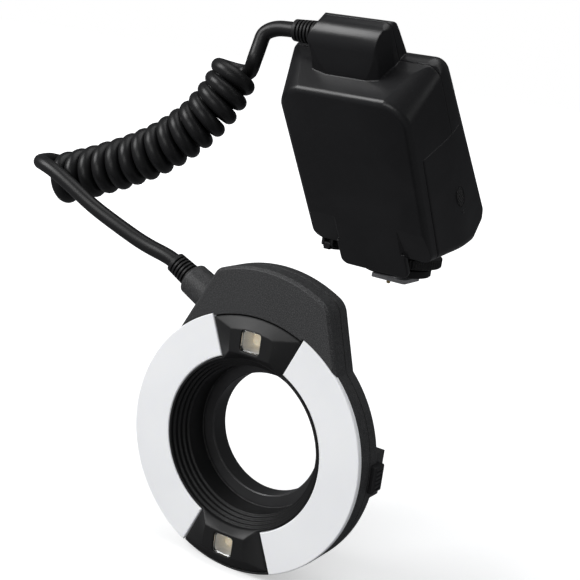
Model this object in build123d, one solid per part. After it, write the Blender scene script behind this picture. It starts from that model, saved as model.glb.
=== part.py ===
from build123d import *
import math
import os

# Macro ring flash: a control unit that sits on a camera's accessory shoe, a ring head that
# screws to the front of a lens, and the curly cord between them.
# Millimetres. The origin is the centre of the shoe foot's underside. +Z is up, -Y is the
# way the lens looks, and +X is to the right of someone who faces the ring from the front.

# Running gaps and joints
fit_gap = 0.05
slide_gap = 0.15
part_gap = 0.3
seam_gap = 0.25
overrun = 2.0

# Battery bay: four round cells that stand side by side
cell_radius = 7.25
cell_length = 50.5
cell_cap_radius = 2.75
cell_cap_length = 1.2
cell_pitch = 14.7
cell_first_x = 23.4
cell_first_depth = 12.6
bay_wall = 1.0
bay_open_x = 27.6
bay_clearance = 0.25
bay_foot_height = 9.6
contact_thickness = 0.4
contact_radius = 5.2
contact_play = 1.0

# Heights in the control unit, which follow from the cells
door_head_room = 1.7
main_board_rise = 3.0
main_board_height = 26.0
unit_top_room = 9.0
bay_inner_top = bay_foot_height + bay_wall + cell_length + cell_cap_length + contact_play
door_top_height = bay_inner_top + door_head_room
main_board_foot = door_top_height + main_board_rise
main_board_top = main_board_foot + main_board_height
unit_top_height = main_board_top + unit_top_room

# Control unit: its own frame has the front face on y = 0, x to the right and z up the face
lean_angle = 36.8
face_foot_y = -27.65
face_foot_z = 11.0
unit_face_half_width = 31.7
unit_half_width = 37.0
unit_half_width_depth = 26.0
unit_rear_half_width = 35.8
unit_face_foot = 7.5
unit_face_drop = 6.5
unit_face_height = unit_top_height - unit_face_drop
unit_shoulder_depth = 17.0
unit_shoulder_drop = 2.2
unit_shoulder_height = unit_top_height - unit_shoulder_drop
unit_top_depth = 33.5
unit_rear_depth = 52.0
unit_rear_foot = 2.1
rear_lean_angle = 10.2
unit_wall = 2.0
belly_depth = 34.0
belly_height = -7.4
heel_depth = 48.0
heel_height = -4.6
unit_long_radius = 6.0
unit_face_radius = 3.0
unit_shoulder_radius = 16.0
unit_top_radius = 9.0
unit_foot_radius = 4.0
unit_flank_radius = 40.0
unit_crown_radius = 14.0
unit_crown_rear_radius = 8.0
unit_crown_gap = 0.2
cheek_depth = 2.4
cheek_top_height = 25.0
cheek_inner_x = 16.4
cheek_wall_run = 2.2
parting_depth = 30.5
parting_lean_angle = 4.0

# Ridge on top, where the cord comes out
ridge_root = 11.0
ridge_rise = 17.5
ridge_foot_height = unit_top_height - ridge_root
ridge_height = unit_top_height + ridge_rise
ridge_half_width = 17.8
ridge_foot_half_width = 20.0
ridge_flare_height = unit_top_height + 2.0
ridge_front_depth = 9.2
ridge_front_top_depth = 12.0
ridge_back_top_depth = 25.5
ridge_back_depth = 31.5
ridge_left_depth = 12.2
ridge_right_depth = 11.2
ridge_right_x = 14.6
ridge_right_run_depth = 20.0
ridge_front_radius = 9.0
ridge_back_radius = 4.0
ridge_left_radius = 6.0
ridge_right_radius = 3.0
ridge_corner_radius = 2.0

# Chin in front of the lock wheel
chin_half_width = 18.4
chin_foot_height = -6.0
chin_top_height = 9.6
chin_thickness = 2.2
chin_radius = 4.0
chin_edge_radius = 0.8

# Battery door on the right flank and its hinge pin
door_front_depth = 5.3
door_rear_margin = 3.5
door_inner_x = 29.6
door_thickness = 1.8
door_gap = 0.25
hinge_depth = 7.6
hinge_barrel_radius = 1.75
hinge_x = door_inner_x + door_gap + hinge_barrel_radius
hinge_pin_radius = 0.8
hinge_pin_reach = 25.0
hinge_sleeve_radius = 2.0
hinge_sleeve_length = 15.0
hinge_pin_foot = door_top_height - hinge_pin_reach
hinge_pin_top = door_top_height + hinge_sleeve_length
door_slide_travel = 4.0
grip_half_height = 6.5
grip_half_depth = 3.6
grip_depth = 26.0
grip_height = 29.0
grip_sink = 0.5

# Inside the unit
board_thickness = 1.2
board_half_width = 27.5
board_window_gap = 1.8
main_board_depth = 6.2
capacitor_radius = 12.0
capacitor_shortfall = 4.5
capacitor_length = cell_length - capacitor_shortfall
capacitor_depth = 19.0
capacitor_foot = 12.0
post_radius = 2.4
post_x = 26.0
post_low_height = 7.5
post_drop = 13.0
post_high_height = unit_top_height - post_drop

# Rear panel: window, keys and switch, measured up the rear face from its foot
window_half_width = 24.0
window_drop = 18.0
window_length = 27.0
window_top = unit_top_height - window_drop
window_foot = window_top - window_length
window_thickness = 1.5
window_lip = 1.4
display_half_width = 21.5
display_margin = 2.6
display_thickness = 2.0
key_travel = 0.8
key_stand = 1.0
key_gap = 0.2
key_flange = 0.9
key_flange_thickness = 0.8
key_small_half_length = 4.2
key_small_half_height = 2.2
key_round_radius = 5.0
key_test_radius = 4.2
key_row_high = 0.845 * window_foot
key_row_middle = 0.612 * window_foot
key_row_low = 0.319 * window_foot
key_column = 20.0
switch_half_length = 4.2
switch_half_height = 2.6
switch_travel = 4.5
switch_slot_depth = 1.0
switch_stand = 1.1
switch_x = 19.0

# Shoe foot, clamp plate, lock wheel, pins
foot_half_width = 9.3
foot_half_length = 9.0
foot_plate_thickness = 2.0
foot_chamfer = 0.5
foot_neck_half_width = 6.2
shoe_lip_room = 2.0
stem_radius = 9.0
stem_top_height = 20.0
clamp_radius = 17.0
clamp_thickness = 4.0
clamp_travel = 0.8
wheel_radius = 21.5
wheel_foot_height = 9.4
wheel_thickness = 4.6
wheel_teeth = 72
wheel_tooth_depth = 0.45
wheel_grip_chamfer = 0.5
block_radius = 15.5
block_foot_height = 15.2
block_rear_y = 9.5
locking_pin_radius = 1.0
locking_pin_y = -7.3
locking_pin_reach = 1.6
locking_pin_length = 16.0
centre_contact_radius = 1.2
side_contact_radius = 0.8
contact_reach = 0.8
contact_length = 9.0
side_contact_x = 4.0
side_contact_near_y = -3.6
side_contact_far_y = 3.6

# Power socket under the left corner
socket_x = -25.5
socket_y = -21.8
socket_radius = 4.6
socket_foot_height = 13.6
socket_hole_radius = 0.9
socket_hole_ring = 2.2
socket_lug_width = 1.4
cover_thickness = 1.4
cover_radius = 5.2
cover_hinge_radius = 1.1
cover_pin_radius = 0.5
cover_tongue_width = 3.2

# Screws
screw_head_radius = 1.9
screw_head_thickness = 1.2
screw_shank_radius = 1.0
screw_length = 7.0
ring_screw_length = 9.5
screw_sink = 0.2
screw_slot_width = 0.5
screw_recess_radius = 2.1
screw_turn_step = 30.0

# Ring head: its own frame has the diffusers' front on y = 0 and the lens axis at x = z = 0
ring_y = -124.0
ring_z = -58.0
ring_radius = 56.3
ring_wall = 1.2
ring_front_depth = 9.0
ring_groove = 0.5
ring_rear_depth = 15.7
hub_radius = 46.0
hub_wall = 1.8
hub_depth = 25.8
bridge_left_foot = (-38.4, 41.2)
bridge_left_top = (-23.2, 70.6)
bridge_top = (1.0, 75.5)
bridge_right_top = (31.2, 66.8)
bridge_right_foot = (39.2, 40.4)
bridge_left_radius = 6.0
bridge_right_radius = 8.0
bridge_wall = 1.8
bridge_bevel = 1.2
edge_chamfer = 0.8

# Diffusers, reflectors and flash tubes
diffuser_outer_radius = ring_radius - slide_gap
diffuser_inner_radius = 37.9
light_room_radius = 55.0
diffuser_thickness = 2.2
diffuser_edge_radius = 0.6
diffuser_gap_angle = 23.6
reflector_depth = 9.2
reflector_wall = 0.8
reflector_margin = 0.35
reflector_gap_angle = 25.5
tube_ring_radius = 46.3
tube_radius = 2.1
tube_depth = 6.0
tube_gap_angle = 34.0
tube_cap_radius = 2.3
tube_cap_length = 3.0

# Inner barrel with the two lamp pods and the stepped bore
barrel_outer_radius = 37.5
barrel_front_radius = 36.6
barrel_step = 1.1
barrel_steps = 5
barrel_step_depth = 1.9
barrel_depth = 17.6
pod_gap_angle = 22.9
pod_outer_radius = 54.6
pod_root_depth = 9.2
pod_rise = 3.4
pod_nose_half_width = 9.8
pod_nose_inner = 38.9
pod_nose_outer = 48.6
lamp_offset = 44.9
lamp_half_width = 4.7
lamp_half_height = 4.4
lamp_corner_radius = 1.4
lamp_lens_thickness = 1.6
lamp_well_depth = 5.4
bulb_radius = 2.4
bulb_base_thickness = 1.2
bulb_base_half_width = 3.2

# Ring board and ring screws
ring_board_thickness = 1.2
ring_board_inner_radius = 38.2
ring_board_outer_radius = 53.6
ring_screw_circle = 50.5
ring_screw_angles = (73.0, 107.0, 253.0, 287.0)

# Adapter ring that screws to the lens
adapter_radius = 36.1
adapter_front = 18.7
adapter_rear = 25.2
adapter_bore_radius = 27.0
adapter_lip_radius = 31.8
adapter_groove_depth = 1.3
adapter_groove_front = 19.5
adapter_groove_width = 3.6
lens_thread_radius = 29.0
lens_thread_length = 3.0
seat_radius = 36.5
seat_wall = 1.6
seat_front = 18.2

# Release buttons: each carries a slide plate with a catch on the far side
release_travel = 2.0
release_half_height = 5.7
release_proud = 2.4
release_front = 10.4
release_rear = 18.0
release_inner_x = 48.5
release_ribs = 5
release_rib_depth = 0.45
slide_inner_radius = 38.5
slide_outer_radius = 41.7
slide_thickness = 1.2
slide_front = 19.9
slide_second_front = 21.5
catch_tip_radius = 35.3
catch_half_height = 4.0
arm_half_height = 4.2
housing_depth = 23.8
housing_half_height = 9.6
housing_inner_x = 43.0

# Cord: round lead, then a left-handed coil along a curved axis, then the lead to the ring
cord_diameter = 5.3
coil_first_radius = 7.6
coil_last_radius = 8.6
coil_turn_count = 15.5
coil_quarters = round(4 * coil_turn_count)
coil_lead_in = 4.2
coil_lead_rise = 3.5
coil_axis = [(-53.9, -83.0, 94.6), (-56.5, -90.0, 66.4), (-78.8, -98.0, 46.9), (-132.4, -104.0, 28.9)]
relief_radius = 5.2
relief_tip_radius = 4.7
relief_length = 10.5
relief_ribs = 6
relief_rib_width = 0.9
relief_core_radius = 3.5
relief_seat = 2.0
relief_depth = 19.5
relief_drop = 8.2
relief_height = ridge_height - relief_drop
collar_radius = 7.6
collar_tip_radius = 7.2
collar_length = 14.0
collar_rim_radius = 1.4
ring_exit_x = -41.5
ring_exit_y = 9.0
ring_exit_z = 61.4
ring_exit_angle = 154.5
lead_end_run = 3.5
first_lead_points = [(-38.6, -79.2, 112.3), (-44.6, -79.5, 109.6)]
second_lead_points = [
    (-134.2, -116.4, 37.4),
    (-128.8, -119.2, 37.4),
    (-121.0, -119.6, 35.2),
    (-110.0, -119.2, 30.0),
    (-97.5, -118.6, 23.5),
    (-83.0, -117.5, 17.8),
    (-68.0, -116.0, 12.2),
]


# Helpers
def turned(u, v):
    """Cross product of two triples."""
    return (u[1] * v[2] - u[2] * v[1], u[2] * v[0] - u[0] * v[2], u[0] * v[1] - u[1] * v[0])


def plus(u, v, k=1.0):
    """Triple u plus k times triple v."""
    return tuple(a + k * b for a, b in zip(u, v))


def unit(u):
    """Triple u at length one."""
    size = math.sqrt(sum(a * a for a in u))
    return tuple(a / size for a in u)


def polygon(points):
    """Flat face through the points."""
    return make_face(Polyline(*points, close=True))


def softened(face, corners, radius):
    """The face with the named corners rounded."""
    for x, y in corners:
        vertex = min(face.vertices(), key=lambda v: (v.X - x) ** 2 + (v.Y - y) ** 2)
        face = fillet(vertex, radius)
    return face


def side_prism(face, x0, x1):
    """Face drawn in (depth, height), from x0 to x1."""
    return extrude(Plane.YZ.offset(x0) * face, amount=x1 - x0)


def plan_prism(face, z0, z1):
    """Face drawn in (x, depth), from z0 to z1."""
    return extrude(Plane.XY.offset(z0) * face, amount=z1 - z0)


def front_prism(face, y0, y1):
    """Face drawn in (x, height), from y0 back to y1."""
    return extrude(Plane.XZ.offset(-y1) * face, amount=y1 - y0)


def disc(radius, y0, y1, x=0, z=0):
    """Round slab whose axis is parallel to the lens axis."""
    return front_prism(Pos(x, z) * Circle(radius), y0, y1)


def washer(inner, outer, y0, y1):
    """Flat ring round the lens axis."""
    return front_prism(Circle(outer) - Circle(inner), y0, y1)


def post(x, y, z0, z1, radius):
    """Upright round bar."""
    return Pos(x, y, z0) * Cylinder(radius, z1 - z0, align=(Align.CENTER, Align.CENTER, Align.MIN))


def block(x0, x1, y0, y1, z0, z1):
    """Box between two corners."""
    centre = Pos((x0 + x1) / 2, (y0 + y1) / 2, (z0 + z1) / 2)
    return centre * Box(x1 - x0, y1 - y0, z1 - z0)


def biggest(shape):
    """The largest solid of a shape."""
    return max(shape.solids(), key=lambda s: s.volume)


def in_unit(shape):
    """From the control unit's frame to the part's."""
    return Location((0, face_foot_y, face_foot_z), (lean_angle, 0, 0)) * shape


def in_ring(shape):
    """From the ring head's frame to the part's."""
    return Pos(0, ring_y, ring_z) * shape


def on_rear(shape):
    """From the rear face (x right, y outward, z up it) to the control unit's frame."""
    return Location((0, unit_rear_depth, 0), (rear_lean_angle, 0, 0)) * shape


rear_slope = math.tan(math.radians(rear_lean_angle))


def rear_depth_at(height):
    """Depth of the rear face at a height."""
    return unit_rear_depth - rear_slope * height


# Control unit casing
def unit_profile(inset):
    """Side view of the casing, in (depth, height), or of the room inside it."""
    corners = [
        (0, unit_face_foot),
        (0, unit_face_height),
        (unit_shoulder_depth, unit_shoulder_height),
        (unit_top_depth, unit_top_height),
        (rear_depth_at(unit_rear_foot), unit_rear_foot),
        (heel_depth, heel_height),
        (belly_depth, belly_height),
    ]
    face = polygon(corners)
    if inset:
        face = offset(face, -inset, kind=Kind.INTERSECTION)
    face = softened(face, corners[2:3], unit_shoulder_radius)
    face = softened(face, corners[3:4], unit_top_radius - inset)
    face = softened(face, corners[5:], unit_foot_radius + unit_wall - inset)
    return softened(face, corners[4:5], unit_foot_radius - inset)


def unit_plan(inset):
    """Section of the casing seen from above, in (x, depth)."""
    far = unit_rear_depth + overrun
    corners = [
        (-unit_face_half_width, 0),
        (unit_face_half_width, 0),
        (unit_half_width, unit_half_width_depth),
        (unit_rear_half_width, far),
        (-unit_rear_half_width, far),
        (-unit_half_width, unit_half_width_depth),
    ]
    face = polygon(corners)
    if inset:
        face = offset(face, -inset, kind=Kind.INTERSECTION)
    return softened(face, [corners[2], corners[5]], unit_flank_radius)


def crown_section(depth, half_width, height, radius, inset):
    """Front view of the casing at a depth, with its two upper corners rounded."""
    foot = belly_height - 2 * overrun
    right = half_width + unit_crown_gap - inset
    top = height + unit_crown_gap - inset
    face = polygon([(-right, foot), (right, foot), (right, top), (-right, top)])
    face = softened(face, [(right, top), (-right, top)], radius - inset)
    return Plane.XZ.offset(-depth) * face


def unit_crown(inset):
    """Form that rounds the casing's upper corners, most of all at the front."""
    behind = 2 * unit_half_width_depth
    near = crown_section(inset, unit_face_half_width, unit_face_height, unit_crown_radius, inset)
    middle = crown_section(unit_half_width_depth, unit_half_width, unit_top_height, unit_crown_rear_radius, inset)
    far = crown_section(behind + overrun, unit_half_width + overrun, unit_top_height + overrun,
                        unit_crown_rear_radius, inset)
    return loft([near, middle], ruled=True) + loft([middle, far], ruled=True)


def unit_body(inset):
    """Outer form of the casing, or the room inside it where inset is the wall."""
    tall = side_prism(unit_profile(inset), -unit_half_width, unit_half_width)
    wide = plan_prism(unit_plan(inset), belly_height - overrun, unit_top_height + overrun)
    body = tall & wide
    long_edges = [e for e in body.edges() if abs(e.center().X) > unit_face_half_width / 2
                  and e.center().Y > inset + unit_wall / 4]
    body = biggest(fillet(long_edges, unit_long_radius - inset) & unit_crown(inset))
    if inset:
        return body
    face = [e for e in body.edges() if e.center().Y < unit_wall / 4]
    return fillet(face, unit_face_radius)


def cheek(side):
    """Wedge that sets a lower corner of the front face back."""
    wedge = polygon([
        (-overrun, cheek_top_height),
        (0, cheek_top_height),
        (cheek_depth, 0),
        (-overrun, 0),
    ])
    far = unit_half_width
    run = cheek_wall_run / cheek_depth
    wall = polygon([
        (side * (cheek_inner_x - run * overrun), -overrun),
        (side * (cheek_inner_x + cheek_wall_run), cheek_depth),
        (side * far, cheek_depth),
        (side * far, -overrun),
    ])
    return side_prism(wedge, -far, far) & plan_prism(wall, 0, cheek_top_height)


def ridge_body(inset):
    """Ridge across the top of the casing, or the room inside it where inset is the wall."""
    top = [(ridge_front_top_depth, ridge_height), (ridge_back_top_depth, ridge_height)]
    side_view = polygon([(ridge_front_depth, ridge_foot_height)] + top + [(ridge_back_depth, ridge_foot_height)])
    upper = [(-ridge_half_width, ridge_height), (ridge_half_width, ridge_height)]
    front_view = polygon([
        (-ridge_foot_half_width, ridge_foot_height),
        (-ridge_half_width, ridge_flare_height),
        upper[0],
        upper[1],
        (ridge_foot_half_width, ridge_foot_height),
    ])
    left = (-ridge_foot_half_width, ridge_left_depth)
    right = (ridge_right_x, ridge_right_depth)
    turn = (ridge_half_width, ridge_right_run_depth)
    back = unit_rear_depth
    top_view = make_face([
        ThreePointArc(left, (0, ridge_front_depth), right).edge(),
        Line(right, turn).edge(),
        Line(turn, (ridge_foot_half_width, back)).edge(),
        Line((ridge_foot_half_width, back), (-ridge_foot_half_width, back)).edge(),
        Line((-ridge_foot_half_width, back), left).edge(),
    ])
    if inset:
        side_view = offset(side_view, -inset, kind=Kind.INTERSECTION)
        front_view = offset(front_view, -inset, kind=Kind.INTERSECTION)
        top_view = offset(top_view, -inset, kind=Kind.INTERSECTION)
    side_view = softened(side_view, top[:1], ridge_front_radius - inset)
    side_view = softened(side_view, top[1:], ridge_back_radius - inset)
    front_view = softened(front_view, upper[:1], ridge_left_radius - inset)
    front_view = softened(front_view, upper[1:], ridge_right_radius - inset)
    if not inset:
        top_view = softened(top_view, [left, right, turn], ridge_corner_radius)
    ridge = side_prism(side_view, -ridge_foot_half_width, ridge_foot_half_width)
    ridge = ridge & front_prism(front_view, 0, unit_rear_depth)
    return biggest(ridge & plan_prism(top_view, ridge_foot_height, ridge_height))


def chin_body():
    """Panel that hangs in front of the lock wheel."""
    low = [(-chin_half_width, chin_foot_height), (chin_half_width, chin_foot_height)]
    face = polygon(low + [(chin_half_width, chin_top_height), (-chin_half_width, chin_top_height)])
    face = softened(face, low, chin_radius)
    panel = front_prism(face, 0, chin_thickness)
    front_edges = [e for e in panel.edges() if e.center().Y < unit_wall / 4 and e.center().Z < chin_top_height / 2]
    return fillet(front_edges, chin_edge_radius)


def parting_half(front):
    """Large block in front of the parting plane, or behind it."""
    reach = 2 * unit_rear_depth + ridge_height
    gap = seam_gap / 2
    if front:
        half = block(-reach, reach, -reach, -gap, -reach, reach)
    else:
        half = block(-reach, reach, gap, reach, -reach, reach)
    return Location((0, parting_depth, 0), (parting_lean_angle, 0, 0)) * half


def door_zone(gap):
    """Space that the battery door takes in the casing, in the unit's frame."""
    foot = belly_height - overrun
    near = door_front_depth + gap
    top = door_top_height - gap
    rear = door_rear_margin + gap
    outline = polygon([
        (near, foot),
        (near, top),
        (rear_depth_at(top) - rear, top),
        (rear_depth_at(foot) - rear, foot),
    ])
    return side_prism(outline, door_inner_x + gap, unit_half_width + overrun)


outer_body = unit_body(0) - cheek(1) - cheek(-1)
inner_body = unit_body(unit_wall)
casing = outer_body + ridge_body(0) + chin_body() - inner_body - ridge_body(unit_wall)


def battery_door():
    """Right flank of the casing, with a barrel for the pin along its front edge."""
    skin = (outer_body - unit_body(door_thickness)) & door_zone(door_gap)
    corner = block(door_inner_x - overrun, unit_half_width, 0, hinge_depth,
                   belly_height - overrun, door_top_height)
    barrel_all = post(hinge_x, hinge_depth, belly_height - overrun, door_top_height, hinge_barrel_radius)
    skin = skin - (corner - barrel_all)
    barrel = post(hinge_x, hinge_depth, bay_foot_height, door_top_height - door_gap, hinge_barrel_radius)
    door = skin + (barrel & outer_body)
    door = door - post(hinge_x, hinge_depth, hinge_pin_foot - fit_gap, door_top_height, hinge_pin_radius + fit_gap)
    grip = side_prism(Pos(grip_depth, grip_height) * Rot(0, 0, rear_lean_angle) * Ellipse(grip_half_depth, grip_half_height),
                      unit_half_width - grip_sink, unit_half_width + overrun)
    return biggest(door - grip)


def case_screw_places():
    """Places of the four case screws on the rear face, in its own frame."""
    return [(x, z) for x in (-post_x, post_x) for z in (post_low_height, post_high_height)]


def screw(length, turn):
    """Slotted screw whose head ends on y = 0 and whose shank runs to -y."""
    head = disc(screw_head_radius, -screw_head_thickness, 0)
    shank = disc(screw_shank_radius, -length, -screw_head_thickness)
    slot = block(-screw_head_radius, screw_head_radius, -screw_head_thickness / 2, overrun,
                 -screw_slot_width / 2, screw_slot_width / 2)
    return Rot(0, turn, 0) * (head + shank - slot)


def case_posts():
    """Posts inside the casing that the case screws bite into."""
    posts = []
    for x, z in case_screw_places():
        bar = disc(post_radius, -unit_rear_depth, -unit_wall - fit_gap, x, z)
        hole = disc(screw_shank_radius + fit_gap, -screw_length - screw_sink - fit_gap, overrun, x, z)
        bar = on_rear(bar - hole) & unit_body(unit_wall - part_gap)
        posts.append(biggest(bar))
    return posts


# Keys and switch on the rear panel: name, place, shape
def key_shapes():
    """Every key's outline and place on the rear face."""
    oval = Rectangle(key_small_half_length * 2, key_small_half_height * 2)
    oval = fillet(oval.vertices(), key_small_half_height * 0.95)
    return {
        "lamp_button": (-key_column, key_row_high, oval),
        "sync_button": (0, key_row_high, oval),
        "ratio_button": (key_column, key_row_high, oval),
        "minus_button": (-key_column * 0.7, key_row_middle, oval),
        "set_button": (0, key_row_middle, Circle(key_round_radius)),
        "plus_button": (key_column * 0.7, key_row_middle, oval),
        "mode_button": (-key_column, key_row_low, oval),
        "test_button": (0, key_row_low, Circle(key_test_radius)),
    }


def key(x, z, outline):
    """Key cap with a flange behind the panel."""
    foot = unit_wall + key_travel + key_gap / 2
    cap = front_prism(Pos(x, z) * outline, -foot, key_stand)
    top = [e for e in cap.edges() if e.center().Y > key_stand - key_gap / 2]
    cap = fillet(top, key_stand * 0.45)
    flange = front_prism(offset(Pos(x, z) * outline, key_flange), -unit_wall - key_gap / 2 - key_flange_thickness,
                         -unit_wall - key_gap / 2)
    return cap + flange


def switch_knob():
    """Sliding power switch with cross ribs."""
    width = switch_half_length * 2
    cap_face = Rectangle(width, switch_half_height * 2)
    cap_face = fillet(cap_face.vertices(), switch_half_height / 3)
    cap = front_prism(Pos(switch_x, key_row_low) * cap_face, -switch_slot_depth + key_gap, switch_stand)
    ribs = []
    for i in range(-2, 3):
        x = switch_x + i * switch_half_length / 3
        ribs.append(block(x - slide_gap, x + slide_gap, switch_stand - key_gap * 2, switch_stand + overrun,
                          key_row_low - switch_half_height, key_row_low + switch_half_height))
    stem = front_prism(Pos(switch_x, key_row_low) * Rectangle(width / 3, switch_half_height), -unit_wall - key_gap,
                       -switch_slot_depth + key_gap)
    foot = front_prism(Pos(switch_x, key_row_low) * Rectangle(width / 2, switch_half_height * 2),
                       -unit_wall - key_gap - key_flange_thickness, -unit_wall - key_gap)
    return cap - ribs + stem + foot


def rear_openings():
    """Everything that is cut through the rear panel, in its own frame."""
    deep = -unit_wall * 2
    window = front_prism(Pos(0, (window_foot + window_top) / 2)
                         * Rectangle(window_half_width * 2 + slide_gap, window_top - window_foot + slide_gap),
                         -window_thickness, overrun)
    sight = front_prism(Pos(0, (window_foot + window_top) / 2)
                        * Rectangle((window_half_width - window_lip) * 2, window_top - window_foot - window_lip * 2),
                        deep, overrun)
    cuts = [window, sight]
    for x, z, outline in key_shapes().values():
        cuts.append(front_prism(offset(Pos(x, z) * outline, key_gap), deep, overrun))
    travel = switch_travel / 2
    centre = switch_x - travel
    cuts.append(front_prism(Pos(centre, key_row_low)
                            * Rectangle(switch_half_length * 2 + switch_travel + key_gap * 2,
                                        switch_half_height * 2 + key_gap * 2),
                            -switch_slot_depth, overrun))
    cuts.append(front_prism(Pos(centre, key_row_low)
                            * Rectangle(switch_half_length * 2 / 3 + switch_travel + key_gap * 2,
                                        switch_half_height + key_gap * 2),
                            deep, overrun))
    for x, z in case_screw_places():
        cuts.append(disc(screw_recess_radius, -screw_head_thickness - screw_sink, overrun, x, z))
        cuts.append(disc(screw_shank_radius + fit_gap, deep, overrun, x, z))
    return cuts


def case_screws():
    """Four screws that hold the rear shell."""
    return [Pos(x, -screw_sink, z) * screw(screw_length, screw_turn_step * i) for i, (x, z) in enumerate(case_screw_places())]


def front_shell():
    """Front half of the casing, with the sleeve for the door's hinge pin."""
    shell = casing & parting_half(True)
    for bar in case_posts():
        shell = shell + bar
    sleeve_foot = door_top_height + seam_gap
    sleeve = post(hinge_x, hinge_depth, sleeve_foot, sleeve_foot + hinge_sleeve_length, hinge_sleeve_radius)
    shell = shell - door_zone(0) + (sleeve & outer_body)
    shell = shell - post(hinge_x, hinge_depth, door_top_height - overrun, hinge_pin_top + part_gap,
                         hinge_pin_radius + fit_gap)
    relief_hole = side_prism(Pos(relief_depth, relief_height) * Circle(relief_core_radius + fit_gap),
                             -ridge_half_width - overrun, -ridge_half_width + unit_wall * 2)
    shell = shell - relief_hole
    return biggest(shell)


def rear_shell():
    """Rear half of the casing, with the panel's openings."""
    shell = casing & parting_half(False)
    shell = shell - door_zone(0)
    shell = shell - [on_rear(cut) for cut in rear_openings()]
    relief_hole = side_prism(Pos(relief_depth, relief_height) * Circle(relief_core_radius + fit_gap),
                             -ridge_half_width - overrun, -ridge_half_width + unit_wall * 2)
    return biggest(shell - relief_hole)


# Battery bay
def cell_places():
    """Axes of the four cells, in (x, depth)."""
    return [(cell_first_x - i * cell_pitch, cell_first_depth + j * cell_pitch) for i in (0, 1) for j in (0, 1)]


bay_front = cell_first_depth - cell_radius - bay_clearance
bay_rear = cell_first_depth + cell_pitch + cell_radius + bay_clearance
bay_inner_x = cell_first_x - cell_pitch - cell_radius - bay_clearance


def battery_holder():
    """Open-sided box for the cells."""
    box = block(bay_inner_x - bay_wall, bay_open_x, bay_front - bay_wall, bay_rear + bay_wall,
                bay_foot_height, bay_inner_top + bay_wall)
    room = block(bay_inner_x, bay_open_x + overrun, bay_front, bay_rear, bay_foot_height + bay_wall, bay_inner_top)
    return box - room


def batteries():
    """Four round cells, alternate ones upside down."""
    cells = []
    foot = bay_foot_height + bay_wall + contact_play / 2 + contact_thickness
    for i, (x, depth) in enumerate(cell_places()):
        body = post(x, depth, 0, cell_length - cell_cap_length, cell_radius)
        body = fillet(body.edges(), cell_cap_length / 2) + post(x, depth, cell_length - 2 * cell_cap_length,
                                                                cell_length, cell_cap_radius)
        if i % 2:
            body = Location((x, depth, cell_length / 2)) * Rot(180, 0, 0) * Location((-x, -depth, -cell_length / 2)) * body
        cells.append(Pos(0, 0, foot) * body)
    return cells


def battery_contacts():
    """Spring plates at both ends of each cell."""
    plates = []
    low = bay_foot_height + bay_wall + slide_gap
    high = bay_inner_top - slide_gap - contact_thickness
    for x, depth in cell_places():
        plates.append(post(x, depth, low, low + contact_thickness, contact_radius))
        plates.append(post(x, depth, high, high + contact_thickness, contact_radius))
    return plates


# Boards, capacitor, display
def key_board():
    """Board behind the keys, parallel to the rear face."""
    y = -unit_wall - key_gap / 2 - key_flange_thickness - key_travel - part_gap
    foot = post_low_height + post_radius + part_gap
    return block(-board_half_width, board_half_width, y - board_thickness, y, foot, window_foot - board_window_gap)


def display_panel():
    """Liquid crystal display behind the window."""
    y = -unit_wall - slide_gap
    return block(-display_half_width, display_half_width, y - display_thickness, y,
                 window_foot + display_margin, window_top - display_margin)


def window():
    """Clear window in the rear panel."""
    face = Rectangle(window_half_width * 2, window_top - window_foot)
    pane = front_prism(Pos(0, (window_foot + window_top) / 2) * face, fit_gap - window_thickness, -key_gap / 2)
    return pane


def main_board():
    """Power board behind the front face, between the upper posts."""
    half_width = post_x - post_radius - part_gap
    return block(-half_width, half_width, main_board_depth - board_thickness, main_board_depth,
                 main_board_foot, main_board_top)


def capacitor():
    """Storage capacitor that stands against the battery bay."""
    x = bay_inner_x - bay_wall - part_gap - capacitor_radius
    can = post(x, capacitor_depth, capacitor_foot, capacitor_foot + capacitor_length, capacitor_radius)
    return fillet(can.edges(), cell_cap_length)


# Shoe foot and lock
def shoe_foot():
    """Metal foot with a hollow stem."""
    plate = block(-foot_half_width, foot_half_width, -foot_half_length, foot_half_length, 0, foot_plate_thickness)
    plate = chamfer(plate.edges().filter_by(Axis.Z), foot_chamfer * 2)
    neck_top = foot_plate_thickness + shoe_lip_room + clamp_thickness / 2
    neck = block(-foot_neck_half_width, foot_neck_half_width, -foot_half_length + foot_chamfer,
                 foot_half_length - foot_chamfer, foot_plate_thickness, neck_top)
    neck = neck & post(0, 0, foot_plate_thickness, neck_top, stem_radius)
    stem = post(0, 0, foot_plate_thickness + shoe_lip_room, stem_top_height, stem_radius)
    foot = plate + neck + stem
    foot = foot - post(0, locking_pin_y, -overrun, stem_top_height + overrun, locking_pin_radius + fit_gap)
    foot = foot - post(0, 0, -overrun, contact_length + clamp_travel * 2, centre_contact_radius + fit_gap)
    for x, y in side_contact_places():
        foot = foot - post(x, y, -overrun, contact_length + clamp_travel * 2, side_contact_radius + fit_gap)
    return foot


def side_contact_places():
    """Places of the four small contacts."""
    return [(x, y) for x in (-side_contact_x, side_contact_x) for y in (side_contact_near_y, side_contact_far_y)]


def rounded_pin(x, y, z0, z1, radius):
    """Pin with a domed foot."""
    pin = post(x, y, z0, z1, radius)
    foot = [e for e in pin.edges() if e.center().Z < z0 + fit_gap]
    return fillet(foot, radius * 0.7)


def clamp_plate():
    """Round plate that the wheel presses on the shoe's lips."""
    foot = foot_plate_thickness + shoe_lip_room
    plate = post(0, 0, foot, foot + clamp_thickness, clamp_radius)
    plate = chamfer(plate.edges(), foot_chamfer)
    return plate - post(0, 0, 0, stem_top_height, stem_radius + fit_gap)


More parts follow.
